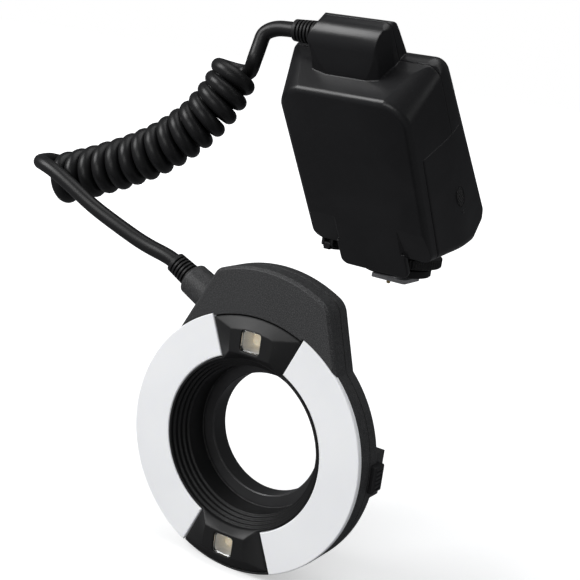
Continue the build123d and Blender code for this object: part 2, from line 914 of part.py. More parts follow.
def lock_wheel():
    """Wheel with a toothed rim and a hub that reaches the clamp plate."""
    count = wheel_teeth * 2
    points = []
    for i in range(count):
        angle = 2 * math.pi * i / count
        radius = wheel_radius - wheel_tooth_depth * (i % 2)
        points.append((radius * math.cos(angle), radius * math.sin(angle)))
    rim = plan_prism(polygon(points), wheel_foot_height, wheel_foot_height + wheel_thickness)
    cone_low = Pos(0, 0, wheel_foot_height) * Cone(wheel_radius - wheel_grip_chamfer, wheel_radius + wheel_thickness,
                                                   wheel_thickness + wheel_grip_chamfer,
                                                   align=(Align.CENTER, Align.CENTER, Align.MIN))
    top = wheel_foot_height + wheel_thickness
    cone_high = Pos(0, 0, top) * Rot(180, 0, 0) * Cone(wheel_radius - wheel_grip_chamfer,
                                                       wheel_radius + wheel_thickness,
                                                       wheel_thickness + wheel_grip_chamfer,
                                                       align=(Align.CENTER, Align.CENTER, Align.MIN))
    rim = rim & cone_low & cone_high
    hub_foot = foot_plate_thickness + shoe_lip_room + clamp_thickness + slide_gap
    hub = post(0, 0, hub_foot, wheel_foot_height + overrun, clamp_radius - foot_chamfer * 2)
    return rim + hub - post(0, 0, 0, stem_top_height, stem_radius + fit_gap)


def base_block():
    """Pedestal between the lock wheel and the casing."""
    top = belly_depth
    pillar = post(0, 0, block_foot_height, top, block_radius)
    pillar = pillar - block(-block_radius, block_radius, block_rear_y, block_radius + overrun, 0, top + overrun)
    pillar = pillar - post(0, 0, 0, stem_top_height + fit_gap, stem_radius + fit_gap)
    pillar = pillar - in_unit(outer_body)
    low = min(pillar.solids(), key=lambda s: s.center().Z)
    room = post(0, locking_pin_y, 0, stem_top_height + locking_pin_reach * 2, locking_pin_radius + part_gap)
    return low - room


# Power socket
cover_hinge_y = socket_y - socket_radius - cover_hinge_radius - part_gap
cover_hinge_z = socket_foot_height + cover_hinge_radius


def power_socket():
    """Round socket under the casing with three blind holes and two lugs for the cover's pin."""
    bar = post(socket_x, socket_y, socket_foot_height, belly_depth, socket_radius)
    reach = cover_tongue_width / 2 + slide_gap
    for side in (-1, 1):
        near = socket_x + side * reach
        far = socket_x + side * (reach + socket_lug_width)
        lug = block(min(near, far), max(near, far), cover_hinge_y, socket_y, cover_hinge_z, belly_depth)
        nose = Plane.YZ.offset(min(near, far)) * Pos(cover_hinge_y, cover_hinge_z) * Circle(cover_hinge_radius)
        bar = bar + lug + extrude(nose, amount=socket_lug_width)
        bar = bar + block(min(near, far), max(near, far), cover_hinge_y - cover_hinge_radius, cover_hinge_y,
                          cover_hinge_z, belly_depth)
    pin = Plane.YZ.offset(socket_x - reach - fit_gap) * Pos(cover_hinge_y, cover_hinge_z) * Circle(cover_pin_radius)
    bar = bar + extrude(pin, amount=2 * (reach + fit_gap))
    bar = bar - in_unit(outer_body)
    low = min(bar.solids(), key=lambda s: s.center().Z)
    for i in range(3):
        angle = math.radians(90 + 120 * i)
        x = socket_x + socket_hole_ring * math.cos(angle)
        y = socket_y + socket_hole_ring * math.sin(angle)
        low = low - post(x, y, 0, socket_foot_height + overrun, socket_hole_radius)
    return low


def socket_cover():
    """Cap under the socket with a tongue and a barrel round the lugs' pin."""
    z1 = socket_foot_height - slide_gap
    cap = post(socket_x, socket_y, z1 - cover_thickness, z1, cover_radius)
    cap = fillet(cap.edges(), cover_thickness / 3)
    half = cover_tongue_width / 2
    barrel_face = Plane.YZ.offset(socket_x - half) * Pos(cover_hinge_y, cover_hinge_z) * Circle(cover_hinge_radius)
    barrel = extrude(barrel_face, amount=cover_tongue_width)
    tongue = block(socket_x - half, socket_x + half, cover_hinge_y - cover_hinge_radius, socket_y,
                   z1 - cover_thickness, z1)
    riser = block(socket_x - half, socket_x + half, cover_hinge_y - cover_hinge_radius, cover_hinge_y,
                  z1 - cover_thickness, cover_hinge_z)
    bore = Plane.YZ.offset(socket_x - half) * Pos(cover_hinge_y, cover_hinge_z) * Circle(cover_pin_radius + fit_gap)
    return cap + tongue + riser + barrel - extrude(bore, amount=cover_tongue_width)


# Strain reliefs and cord
def relief(length):
    """Ribbed sleeve along +Z from its seat, open for the cord, with grooves between ribs."""
    sleeve = Cone(relief_radius, relief_tip_radius, length, align=(Align.CENTER, Align.CENTER, Align.MIN))
    step = length / relief_ribs
    for i in range(relief_ribs):
        z = i * step + relief_rib_width
        groove = post(0, 0, z, z + step - relief_rib_width, relief_radius + overrun)
        groove = groove - post(0, 0, z - overrun, z + step + overrun, relief_core_radius)
        if i < relief_ribs - 1:
            sleeve = sleeve - groove
    return sleeve


def unit_relief():
    """Strain relief in the left end of the ridge, with a root inside the casing."""
    sleeve = relief(relief_length) + post(0, 0, -relief_seat - unit_wall, 0, relief_core_radius)
    place = Location((-ridge_half_width - fit_gap, relief_depth, relief_height), (0, -90, 0))
    return in_unit(place * sleeve)


ring_exit_direction = (math.cos(math.radians(ring_exit_angle)), 0.0, math.sin(math.radians(ring_exit_angle)))


def ring_exit(distance):
    """Location on the ring's cord exit line, with +Z along it, in the ring's frame."""
    x = ring_exit_x + distance * ring_exit_direction[0]
    z = ring_exit_z + distance * ring_exit_direction[2]
    return Location((x, ring_exit_y, z), (0, 90 - ring_exit_angle, 0))


def ring_relief():
    """Strain relief at the ring head."""
    sleeve = relief(relief_length) + post(0, 0, -relief_seat, 0, relief_core_radius)
    return in_ring(ring_exit(fit_gap) * sleeve)


def collar():
    """Round boss on the ring head that the strain relief sits in."""
    boss = Cone(collar_tip_radius, collar_radius, collar_length, align=(Align.CENTER, Align.CENTER, Align.MIN))
    rim = [e for e in boss.edges() if e.center().Z < part_gap and e.length > collar_tip_radius]
    return ring_exit(0) * Rot(180, 0, 0) * fillet(rim, collar_rim_radius)


def bezier(t):
    """Point of the coil's axis at t."""
    s = 1 - t
    weights = (s ** 3, 3 * s * s * t, 3 * s * t * t, t ** 3)
    return tuple(sum(w * p[i] for w, p in zip(weights, coil_axis)) for i in range(3))


def axis_by_length(count):
    """Values of t that cut the coil's axis into equal lengths."""
    fine = 40 * count
    places = [bezier(i / fine) for i in range(fine + 1)]
    runs = [0.0]
    for a, b in zip(places, places[1:]):
        runs.append(runs[-1] + math.dist(a, b))
    values = []
    j = 0
    for i in range(count + 1):
        goal = runs[-1] * i / count
        while j < fine and runs[j + 1] < goal:
            j += 1
        part = (goal - runs[j]) / (runs[j + 1] - runs[j]) if j < fine else 0.0
        values.append(min(1.0, (j + part) / fine))
    return values, runs[-1]


def coil_frame(t):
    """Centre, forward, back and side directions of the coil at t."""
    step = 1e-4
    low = bezier(max(0.0, t - step))
    high = bezier(min(1.0, t + step))
    forward = unit(plus(high, low, -1.0))
    back = unit(plus((0.0, 1.0, 0.0), forward, -forward[1]))
    return bezier(t), forward, back, turned(forward, back)


def coil_point(t, angle):
    """Point of the coil's centre line."""
    centre, forward, back, side = coil_frame(t)
    radius = coil_first_radius + (coil_last_radius - coil_first_radius) * t
    out = plus(tuple(math.cos(angle) * a for a in back), side, math.sin(angle))
    return plus(centre, out, radius)


def coil_line():
    """Points and directions of the coil, a quarter turn apart, with a straight run at each end."""
    values, length = axis_by_length(coil_quarters)
    rise = length / coil_quarters / (math.pi / 2 * (coil_first_radius + coil_last_radius) / 2)
    knots = []
    for i in range(1, coil_quarters + 1):
        angle = math.pi / 2 * (1 - i)
        forward, back, side = coil_frame(values[i])[1:]
        along = plus(tuple(math.sin(angle) * a for a in back), side, -math.cos(angle))
        knots.append((coil_point(values[i], angle), unit(plus(along, forward, rise))))
    forward = coil_frame(0.0)[1]
    entry = plus(coil_point(0.0, math.pi / 2), forward, -coil_lead_rise)
    start = plus(entry, forward, -coil_lead_in)
    end = plus(knots[-1][0], knots[-1][1], coil_lead_in)
    return start, [(entry, forward)] + knots, end


def biarc(p, t1, q, t2):
    """Two tangent arcs from p along t1 to q along t2."""
    v = plus(q, p, -1.0)
    both = plus(t1, t2)
    dot_vt = sum(a * b for a, b in zip(v, both))
    vv = sum(a * a for a in v)
    tt = sum(a * b for a, b in zip(t1, t2))
    root = math.sqrt(dot_vt * dot_vt + 2 * (1 - tt) * vv)
    d = (root - dot_vt) / (2 * (1 - tt))
    middle = tuple((a + b) / 2 + d * (c - e) / 2 for a, b, c, e in zip(p, q, t1, t2))
    first = ThreePointArc(p, arc_middle(p, t1, middle), middle)
    second = ThreePointArc(middle, arc_middle(q, tuple(-a for a in t2), middle), q)
    return [first, second]


def arc_middle(p, tangent, q):
    """Middle point of the arc that leaves p along a tangent and ends at q."""
    chord = plus(q, p, -1.0)
    size = math.sqrt(sum(a * a for a in chord))
    along = sum(a * b for a, b in zip(chord, tangent)) / size
    across = unit(plus(tangent, chord, -along / size))
    half = math.acos(max(-1.0, min(1.0, along)))
    rise = size / 2 * math.tan(half / 2)
    centre = plus(p, chord, 0.5)
    return plus(centre, across, rise)


def coil_gap():
    """Least distance between the coil's turns, surface to surface."""
    turn_points = 24
    count = coil_quarters * turn_points // 4
    values, length = axis_by_length(count)
    places = [coil_point(values[i], math.pi / 2 - 2 * math.pi * i / turn_points) for i in range(count + 1)]
    least = length
    for i, a in enumerate(places):
        for b in places[i + turn_points // 2:]:
            least = min(least, math.dist(a, b))
    return least - cord_diameter


def swept(path, start, direction):
    """Round cord along a path."""
    plane = Plane(origin=start, z_dir=direction)
    return sweep(plane * Circle(cord_diameter / 2), path=path)


def cord_coil():
    """The coil as one unbroken tube."""
    start, knots, end = coil_line()
    edges = [Line(start, knots[0][0])]
    for (p, t1), (q, t2) in zip(knots, knots[1:]):
        edges += biarc(p, t1, q, t2)
    edges.append(Line(knots[-1][0], end))
    print("coil: least gap between turns", round(coil_gap(), 2))
    path = Wire([piece.edge() for piece in edges])
    return swept(path, start, knots[0][1]), path.length


def lead(points, name):
    """Round cord along straight runs joined by arcs."""
    radii = []
    for a, b, c in zip(points, points[1:], points[2:]):
        run = min(math.dist(a, b), math.dist(b, c))
        turn = Vector(plus(b, a, -1.0)).get_angle(Vector(plus(c, b, -1.0)))
        radii.append(0.45 * run / math.tan(math.radians(turn / 2)))
    print(name, "radii", [round(r, 1) for r in radii],
          "runs", [round(math.dist(a, b), 1) for a, b in zip(points, points[1:])])
    path = FilletPolyline(*points, radius=radii)
    tube = swept(path.wire(), points[0], plus(points[1], points[0], -1.0))
    section = math.pi * cord_diameter ** 2 / 4
    print(name, "volume", round(tube.volume), "section times length", round(section * path.wire().length))
    return tube, path.wire().length


def place_of(location):
    """Origin of a location as a triple."""
    return (location.position.X, location.position.Y, location.position.Z)


relief_tip = in_unit(Location((-ridge_half_width - fit_gap - relief_length, relief_depth, relief_height)))
ring_tip = in_ring(ring_exit(relief_length + fit_gap))


# Ring head
def ring_outline(inset):
    """Outline of the ring head with its bridge, in (x, height)."""
    circle = Circle(ring_radius - inset)
    bridge = make_face([
        Line((0, 0), bridge_right_foot).edge(),
        Line(bridge_right_foot, bridge_right_top).edge(),
        ThreePointArc(bridge_right_top, bridge_top, bridge_left_top).edge(),
        Line(bridge_left_top, bridge_left_foot).edge(),
        Line(bridge_left_foot, (0, 0)).edge(),
    ])
    bridge = softened(bridge, [bridge_right_top], bridge_right_radius)
    bridge = softened(bridge, [bridge_left_top], bridge_left_radius)
    if inset:
        bridge = offset(bridge, -inset, kind=Kind.INTERSECTION)
    return circle + bridge


def sector(inner, outer, gap_angle, y0, y1, right):
    """Half ring between two radii that stops short of the vertical by a gap angle."""
    reach = 2 * outer
    low = math.radians(gap_angle)
    side = 1 if right else -1
    wedge = polygon([
        (0, 0),
        (side * reach * math.sin(low), reach * math.cos(low)),
        (side * 2 * reach, 0),
        (side * reach * math.sin(low), -reach * math.cos(low)),
    ])
    face = (Circle(outer) - Circle(inner)) & wedge
    return front_prism(face, y0, y1)


def diffuser(right):
    """White light window of one half of the ring."""
    plate = sector(diffuser_inner_radius, diffuser_outer_radius, diffuser_gap_angle, 0, diffuser_thickness, right)
    front = [e for e in plate.edges() if e.center().Y < diffuser_thickness / 4]
    return fillet(front, diffuser_edge_radius)


def reflector(right):
    """Bright trough behind a diffuser."""
    y0 = diffuser_thickness + slide_gap
    outer = light_room_radius - reflector_margin
    inner = diffuser_inner_radius + reflector_margin
    trough = sector(inner, outer, reflector_gap_angle, y0, reflector_depth, right)
    room = sector(inner + reflector_wall, outer - reflector_wall, reflector_gap_angle * 0.5, y0 - overrun,
                  reflector_depth - reflector_wall, right)
    return trough - room


def flash_tube(right):
    """Curved glass tube with a metal cap at each end."""
    side = 1 if right else -1
    low = math.radians(tube_gap_angle)
    start = (side * tube_ring_radius * math.sin(low), tube_depth, tube_ring_radius * math.cos(low))
    middle = (side * tube_ring_radius, tube_depth, 0)
    end = (start[0], tube_depth, -start[2])
    arc = ThreePointArc(start, middle, end)
    glass = sweep(Plane(origin=start, z_dir=arc % 0) * Circle(tube_radius), path=Wire([arc]))
    for where in (0, 1):
        direction = arc % where if where else -(arc % where)
        cap = Location(Plane(origin=arc @ where, z_dir=direction))
        cap = cap * Cylinder(tube_cap_radius, tube_cap_length, align=(Align.CENTER, Align.CENTER, Align.MIN))
        glass = glass + cap
    return glass


def bore_steps():
    """Stepped room inside the barrel."""
    room = disc(barrel_front_radius, -pod_rise - overrun, barrel_step_depth)
    for i in range(1, barrel_steps):
        y0 = barrel_step_depth * i
        room = room + disc(barrel_front_radius - barrel_step * i, y0 - fit_gap, y0 + barrel_step_depth)
    last = barrel_front_radius - barrel_step * (barrel_steps - 1)
    return room + disc(last, 0, barrel_depth + overrun)


def pod(top):
    """Lamp pod: a root between the diffusers and a bevelled nose."""
    side = 1 if top else -1
    low = math.radians(pod_gap_angle)
    inner = barrel_outer_radius - barrel_step
    outer = pod_outer_radius

    def arc_face(radius_in, radius_out, half_in, half_out):
        face = make_face([
            Line((-half_out, radius_out[0]), (-half_in, radius_in[0])).edge(),
            ThreePointArc((-half_in, radius_in[0]), (0, radius_in[1]), (half_in, radius_in[0])).edge(),
            Line((half_in, radius_in[0]), (half_out, radius_out[0])).edge(),
            ThreePointArc((half_out, radius_out[0]), (0, radius_out[1]), (-half_out, radius_out[0])).edge(),
        ])
        return face

    sine, cosine = math.sin(low), math.cos(low)
    root = arc_face((inner * cosine, inner), (outer * cosine, outer), inner * sine, outer * sine)
    nose = arc_face((pod_nose_inner, pod_nose_inner + barrel_step / 4), (pod_nose_outer, pod_nose_outer + barrel_step),
                    pod_nose_half_width, pod_nose_half_width + barrel_step / 2)
    solid = front_prism(root, 0, pod_root_depth)
    low_face = Plane.XZ * root
    high_face = Plane.XZ.offset(pod_rise) * nose
    solid = solid + loft([low_face, high_face], ruled=True)
    well = Rectangle(lamp_half_width * 2 + slide_gap * 2, lamp_half_height * 2 + slide_gap * 2)
    well = fillet(well.vertices(), lamp_corner_radius)
    solid = solid - front_prism(Pos(0, lamp_offset) * well, -pod_rise - overrun, lamp_well_depth)
    return solid if side > 0 else Rot(0, 180, 0) * solid


def lamp_lens(top):
    """Clear window of a focusing lamp."""
    face = Rectangle(lamp_half_width * 2, lamp_half_height * 2)
    face = fillet(face.vertices(), lamp_corner_radius)
    front = -pod_rise + slide_gap * 2
    plate = front_prism(Pos(0, lamp_offset) * face, front, front + lamp_lens_thickness)
    edge = [e for e in plate.edges() if e.center().Y < front + slide_gap]
    plate = fillet(edge, slide_gap * 2)
    return plate if top else Rot(0, 180, 0) * plate


def lamp_bulb(top):
    """Small round lamp on a square base."""
    y1 = lamp_well_depth - slide_gap
    y0 = y1 - bulb_base_thickness
    base = front_prism(Pos(0, lamp_offset) * Rectangle(bulb_base_half_width * 2, bulb_base_half_width * 2), y0, y1)
    dome = Pos(0, y0 - bulb_radius * 0.2, lamp_offset) * Sphere(bulb_radius)
    lamp = base + dome
    lamp = lamp - block(-bulb_radius * 2, bulb_radius * 2, y1, y1 + overrun * 2, 0, lamp_offset * 2)
    return lamp if top else Rot(0, 180, 0) * lamp


def inner_barrel():
    """Barrel, stepped bore and both pods in one moulding."""
    tube = disc(barrel_outer_radius, 0, barrel_depth)
    barrel = tube + pod(True) + pod(False) - bore_steps()
    tip = ring_rear_depth - ring_screw_length - part_gap
    for x, z in ring_screw_places():
        barrel = barrel - disc(screw_shank_radius + fit_gap, tip, pod_root_depth + overrun, x, z)
    return barrel


def ring_front_shell():
    """Front moulding of the ring head with the plain bridge plate."""
    shell = front_prism(ring_outline(0), 0, ring_front_depth)
    shell = chamfer([e for e in shell.edges() if e.center().Y < edge_chamfer / 4], bridge_bevel)
    shell = shell - disc(light_room_radius + slide_gap, -overrun, ring_front_depth + overrun)
    for right in (True, False):
        shell = shell - sector(diffuser_inner_radius, diffuser_outer_radius + slide_gap, pod_gap_angle, -overrun,
                               diffuser_thickness + slide_gap, right)
    room = front_prism(ring_outline(bridge_wall), bridge_wall, ring_front_depth + overrun)
    shell = shell - (room - disc(ring_radius + ring_wall, 0, ring_front_depth + overrun * 2))
    shell = shell + in_collar_space(0, ring_front_depth)
    return biggest(shell - cord_bore())


def in_collar_space(y0, y1):
    """The part of the cord collar between two depths and outside the ring's room."""
    reach = 2 * ring_radius
    slab = block(-reach, reach, y0, y1, -reach, reach)
    inside = front_prism(ring_outline(bridge_wall), y0 - overrun, y1 + overrun)
    return (collar() & slab) - inside


def cord_bore():
    """Hole for the strain relief's root and the cord."""
    bar = Cylinder(relief_core_radius + fit_gap, 2 * (collar_length + overrun))
    return ring_exit(0) * bar


def housing(right):
    """Raised housing on the rear band round a release button."""
    side = 1 if right else -1
    box = block(housing_inner_x, ring_radius - ring_wall, ring_rear_depth - ring_wall, housing_depth,
                -housing_half_height, housing_half_height)
    box = box & disc(ring_radius, 0, housing_depth + overrun)
    edges = [e for e in box.edges() if e.center().Y > housing_depth - ring_wall / 4 and e.center().X > hub_radius]
    box = fillet(edges, ring_wall)
    return box if side > 0 else Rot(0, 180, 0) * box


def release_room(right):
    """Slot for a release button and its arm, with room for its travel."""
    gap = slide_gap
    pocket = block(release_inner_x - release_travel - part_gap, ring_radius + overrun * 2, release_front - gap,
                   release_rear + gap, -release_half_height - gap, release_half_height + gap)
    arm = block(slide_inner_radius, release_inner_x, slide_front - gap, slide_second_front + slide_thickness + gap,
                -arm_half_height - gap, arm_half_height + gap)
    step = block(release_inner_x - release_travel - part_gap, release_inner_x + release_travel, release_front - gap,
                 slide_second_front + slide_thickness + gap, -arm_half_height - gap, arm_half_height + gap)
    room = pocket + arm + step
    return room if right else Rot(0, 180, 0) * room


def ring_rear_shell():
    """Rear moulding: band, hub, seat for the adapter ring and the release housings."""
    front = ring_front_depth + ring_groove
    shell = front_prism(ring_outline(0), front, ring_rear_depth)
    shell = chamfer([e for e in shell.edges() if e.center().Y > ring_rear_depth - edge_chamfer / 4], edge_chamfer)
    hub = disc(hub_radius, ring_rear_depth - overrun, hub_depth)
    hub = chamfer([e for e in hub.edges() if e.center().Y > hub_depth - edge_chamfer / 4], edge_chamfer)
    shell = shell + hub + housing(True) + housing(False)
    room = front_prism(ring_outline(bridge_wall), front - overrun, ring_rear_depth - bridge_wall)
    shell = shell - room
    shell = shell + in_collar_space(front, ring_rear_depth)
    web = ring_rear_depth - bridge_wall
    hub_room = washer(seat_radius + seat_wall, hub_radius - hub_wall, web - overrun, hub_depth - hub_wall)
    shell = shell - hub_room
    seat = washer(adapter_lip_radius, seat_radius + seat_wall, web, seat_front + overrun)
    shell = shell + seat
    shell = shell - disc(seat_radius, seat_front, hub_depth + overrun)
    shell = shell - disc(barrel_outer_radius + slide_gap, web - overrun, barrel_depth + slide_gap)
    shell = shell - disc(adapter_lip_radius + slide_gap, 0, hub_depth)
    shell = shell - release_room(True) - release_room(False)
    for right in (True, False):
        slot = block(-slide_inner_radius - part_gap, overrun - catch_tip_radius, *catch_depths(right, slide_gap),
                     -catch_half_height - slide_gap, catch_half_height + slide_gap)
        shell = shell - (slot if right else Rot(0, 180, 0) * slot)
    for x, z in ring_screw_places():
        seat_y = ring_rear_depth - screw_head_thickness - screw_sink
        shell = shell - disc(screw_recess_radius, seat_y, ring_rear_depth + overrun, x, z)
        shell = shell - disc(screw_shank_radius + fit_gap, 0, ring_rear_depth + overrun, x, z)
    return biggest(shell - cord_bore())


def catch_depths(right, gap):
    """Front and rear of a slide plate."""
    y0 = slide_front if right else slide_second_front
    return y0 - gap, y0 + slide_thickness + gap


def release_button(right):
    """Button, arm, slide plate round the seat and catch on the far side, drawn for the right hand."""
    y0, y1 = catch_depths(right, 0)
    outer_x = ring_radius + release_proud
    cap = block(release_inner_x, outer_x, release_front, release_rear, -release_half_height, release_half_height)
    outer_edges = [e for e in cap.edges() if e.center().X > outer_x - slide_gap]
    cap = fillet(outer_edges, release_proud / 2)
    pitch = 2 * release_half_height / (release_ribs + 1)
    for i in range(release_ribs):
        z = -release_half_height + pitch * (i + 1)
        cap = cap - block(outer_x - release_rib_depth, outer_x + overrun, release_front + part_gap * 2,
                          release_rear - part_gap * 2, z - pitch / 5, z + pitch / 5)
    leg = block(release_inner_x, release_inner_x + release_travel, release_rear - overrun, y1,
                -arm_half_height, arm_half_height)
    arm = block(slide_inner_radius + release_travel, release_inner_x + release_travel / 2, y0, y1,
                -arm_half_height, arm_half_height)
    plate = washer(slide_inner_radius, slide_outer_radius, y0, y1)
    room = disc(slide_inner_radius, y0 - overrun, y1 + overrun, release_travel)
    catch = block(-slide_inner_radius - part_gap, -catch_tip_radius, y0, y1, -catch_half_height, catch_half_height)
    catch = catch - disc(catch_tip_radius, y0 - overrun, y1 + overrun)
    button = cap + leg + arm + (plate - room) + catch
    return button if right else Rot(0, 180, 0) * button


def adapter_ring():
    """Ring with a groove for the catches, a clear bore and the lens thread behind."""
    body = disc(adapter_radius, adapter_front, adapter_rear)
    body = chamfer(body.edges(), slide_gap * 2)
    groove = washer(adapter_radius - adapter_groove_depth, adapter_radius + overrun, adapter_groove_front,
                    adapter_groove_front + adapter_groove_width)
    thread = disc(lens_thread_radius, adapter_rear - overrun, adapter_rear + lens_thread_length)
    bore = disc(adapter_bore_radius, 0, adapter_rear + lens_thread_length + overrun)
    return body - groove + thread - bore


def ring_board():
    """Flat board behind the reflectors."""
    front = reflector_depth + part_gap
    board = washer(ring_board_inner_radius, ring_board_outer_radius, front, front + ring_board_thickness)
    board = board - release_room(True) - release_room(False)
    for x, z in ring_screw_places():
        board = board - disc(screw_shank_radius + part_gap, 0, ring_rear_depth, x, z)
    return board


def ring_screw_places():
    """Places of the ring head's screws, in (x, height)."""
    places = []
    for angle in ring_screw_angles:
        places.append((ring_screw_circle * math.cos(math.radians(angle)),
                       ring_screw_circle * math.sin(math.radians(angle))))
    return places


def ring_screws():
    """Four screws that go through the rear moulding into the pods."""
    y = ring_rear_depth - screw_sink
    return [Pos(x, y, z) * screw(ring_screw_length, screw_turn_step * i) for i, (x, z) in enumerate(ring_screw_places())]


# All nodes
def unit_nodes():
    """Pieces of the control unit."""
    nodes = {
        "front_shell": in_unit(front_shell()),
        "rear_shell": in_unit(rear_shell()),
        "battery_door": in_unit(battery_door()),
        "door_hinge_pin": in_unit(post(hinge_x, hinge_depth, hinge_pin_foot, hinge_pin_top, hinge_pin_radius)),
        "battery_holder": in_unit(battery_holder()),
        "batteries": [in_unit(cell) for cell in batteries()],
        "battery_contacts": [in_unit(plate) for plate in battery_contacts()],
        "main_board": in_unit(main_board()),
        "main_capacitor": in_unit(capacitor()),
        "key_board": in_unit(on_rear(key_board())),
        "display_panel": in_unit(on_rear(display_panel())),
        "display_window": in_unit(on_rear(window())),
        "power_switch": in_unit(on_rear(switch_knob())),
        "case_screws": [in_unit(on_rear(s)) for s in case_screws()],
        "base_block": base_block(),
        "shoe_foot": shoe_foot(),
        "clamp_plate": clamp_plate(),
        "lock_wheel": lock_wheel(),
        "locking_pin": rounded_pin(0, locking_pin_y, -locking_pin_reach, locking_pin_length, locking_pin_radius),
        "centre_contact": rounded_pin(0, 0, -contact_reach, contact_length, centre_contact_radius),
        "side_contacts": [rounded_pin(x, y, -contact_reach, contact_length, side_contact_radius)
                          for x, y in side_contact_places()],
        "power_socket": power_socket(),
        "socket_cover": socket_cover(),
        "unit_strain_relief": unit_relief(),
    }
    for name, (x, z, outline) in key_shapes().items():
        nodes[name] = in_unit(on_rear(key(x, z, outline)))
    return nodes


def cord_nodes():
    """Pieces of the cord."""
    coil, coil_length = cord_coil()
    start, knots, end = coil_line()
    relief_end = place_of(relief_tip)
    ring_end = place_of(ring_tip)
    forward = knots[0][1]
    last = knots[-1][1]
    first_route = [relief_end, plus(relief_end, (-1.0, 0.0, 0.0), lead_end_run)] + first_lead_points
    first_route += [plus(start, forward, -lead_end_run), start]
    second_route = [end, plus(end, last, lead_end_run)] + second_lead_points
    second_route += [plus(ring_end, ring_exit_direction, lead_end_run), ring_end]
    first, first_length = lead(first_route, "first lead")
    second, second_length = lead(second_route, "second lead")
    print("cord length", round(first_length + coil_length + second_length))
    return {"cord_unit_lead": first, "cord_coil": coil, "cord_ring_lead": second}


def ring_nodes():
    """Pieces of the ring head."""
    nodes = {
        "ring_front_shell": ring_front_shell(),
        "ring_rear_shell": ring_rear_shell(),
        "inner_barrel": inner_barrel(),
        "adapter_ring": adapter_ring(),
        "ring_board": ring_board(),
        "ring_screws": ring_screws(),
    }
    for side, right in (("left", False), ("right", True)):
        nodes["diffuser_" + side] = diffuser(right)
        nodes["reflector_" + side] = reflector(right)
        nodes["flash_tube_" + side] = flash_tube(right)
        nodes["release_button_" + side] = release_button(right)
    for side, top in (("top", True), ("bottom", False)):
        nodes["lamp_lens_" + side] = lamp_lens(top)
        nodes["lamp_bulb_" + side] = lamp_bulb(top)
    placed = {}
    for name, shape in nodes.items():
        placed[name] = [in_ring(s) for s in shape] if isinstance(shape, list) else in_ring(shape)
    placed["ring_strain_relief"] = ring_relief()
    return placed


os.makedirs("parts", exist_ok=True)
everything = {**unit_nodes(), **cord_nodes(), **ring_nodes()}
for name, shape in everything.items():
    pieces = shape if isinstance(shape, list) else [shape]
    solids = [solid for piece in pieces for solid in piece.solids()]
    export_step(Compound(children=solids) if len(solids) > 1 else solids[0], f"parts/{name}.step")
print(len(everything), "nodes")
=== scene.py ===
import math
import bmesh
import bpy
from mathutils import Matrix, Vector, noise


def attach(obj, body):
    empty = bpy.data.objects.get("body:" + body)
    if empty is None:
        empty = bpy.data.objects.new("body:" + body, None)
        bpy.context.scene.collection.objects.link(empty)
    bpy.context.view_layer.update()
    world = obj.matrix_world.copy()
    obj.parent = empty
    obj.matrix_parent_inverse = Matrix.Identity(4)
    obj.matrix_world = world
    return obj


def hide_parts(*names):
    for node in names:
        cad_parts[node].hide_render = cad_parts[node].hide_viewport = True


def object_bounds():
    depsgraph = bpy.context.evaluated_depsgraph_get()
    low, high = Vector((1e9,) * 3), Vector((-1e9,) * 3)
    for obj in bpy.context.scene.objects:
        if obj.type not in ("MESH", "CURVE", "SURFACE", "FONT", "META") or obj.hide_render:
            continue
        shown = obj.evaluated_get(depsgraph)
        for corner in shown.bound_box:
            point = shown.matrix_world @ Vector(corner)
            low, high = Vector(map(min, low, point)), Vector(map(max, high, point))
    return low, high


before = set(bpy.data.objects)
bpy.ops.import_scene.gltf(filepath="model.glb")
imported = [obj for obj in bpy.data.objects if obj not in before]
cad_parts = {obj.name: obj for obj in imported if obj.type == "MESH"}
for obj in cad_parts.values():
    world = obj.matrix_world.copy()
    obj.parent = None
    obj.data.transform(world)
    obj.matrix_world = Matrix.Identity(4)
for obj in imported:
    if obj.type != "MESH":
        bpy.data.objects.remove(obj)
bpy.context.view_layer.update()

# Looks of the macro ring flash: control unit on its shoe foot, curly cord and ring head.
# Lengths are in metres; mm turns a length in millimetres into metres.
mm = 0.001

# The frames of the CAD: control unit, its rear panel and the ring head
UNIT_LEAN = 36.8
REAR_LEAN = 10.2
UNIT = Matrix.Translation((0, -27.65 * mm, 11 * mm)) @ Matrix.Rotation(math.radians(UNIT_LEAN), 4, "X")
REAR = UNIT @ Matrix.Translation((0, 52 * mm, 0)) @ Matrix.Rotation(math.radians(REAR_LEAN), 4, "X")
RING_CENTRE = (0, -124 * mm, -58 * mm)
RING = Matrix.Translation(RING_CENTRE)
ROOT = "unit_and_ring"


# Node helpers
def node(tree, kind, inputs=None, **settings):
    """A shader node with its settings, and its inputs set or linked by name."""
    made = tree.nodes.new(kind)
    for key, value in settings.items():
        setattr(made, key, value)
    for key, value in (inputs or {}).items():
        if isinstance(value, bpy.types.NodeSocket):
            tree.links.new(value, made.inputs[key])
        else:
            made.inputs[key].default_value = value
    return made


def maths(tree, operation, a, b=0.0, clamp=False):
    """Output of a Math node."""
    return node(tree, "ShaderNodeMath", {0: a, 1: b}, operation=operation, use_clamp=clamp).outputs[0]


def blend_colours(tree, share, a, b):
    """Output of a colour mix: a where share is 0, b where it is 1."""
    made = node(tree, "ShaderNodeMix", {0: share, 6: a, 7: b}, data_type="RGBA")
    return made.outputs[2]


def between(tree, value, low, high, new_low=0.0, new_high=1.0):
    """Value mapped from one range to another and clamped."""
    made = node(tree, "ShaderNodeMapRange",
                {"Value": value, "From Min": low, "From Max": high, "To Min": new_low, "To Max": new_high})
    return made.outputs["Result"]


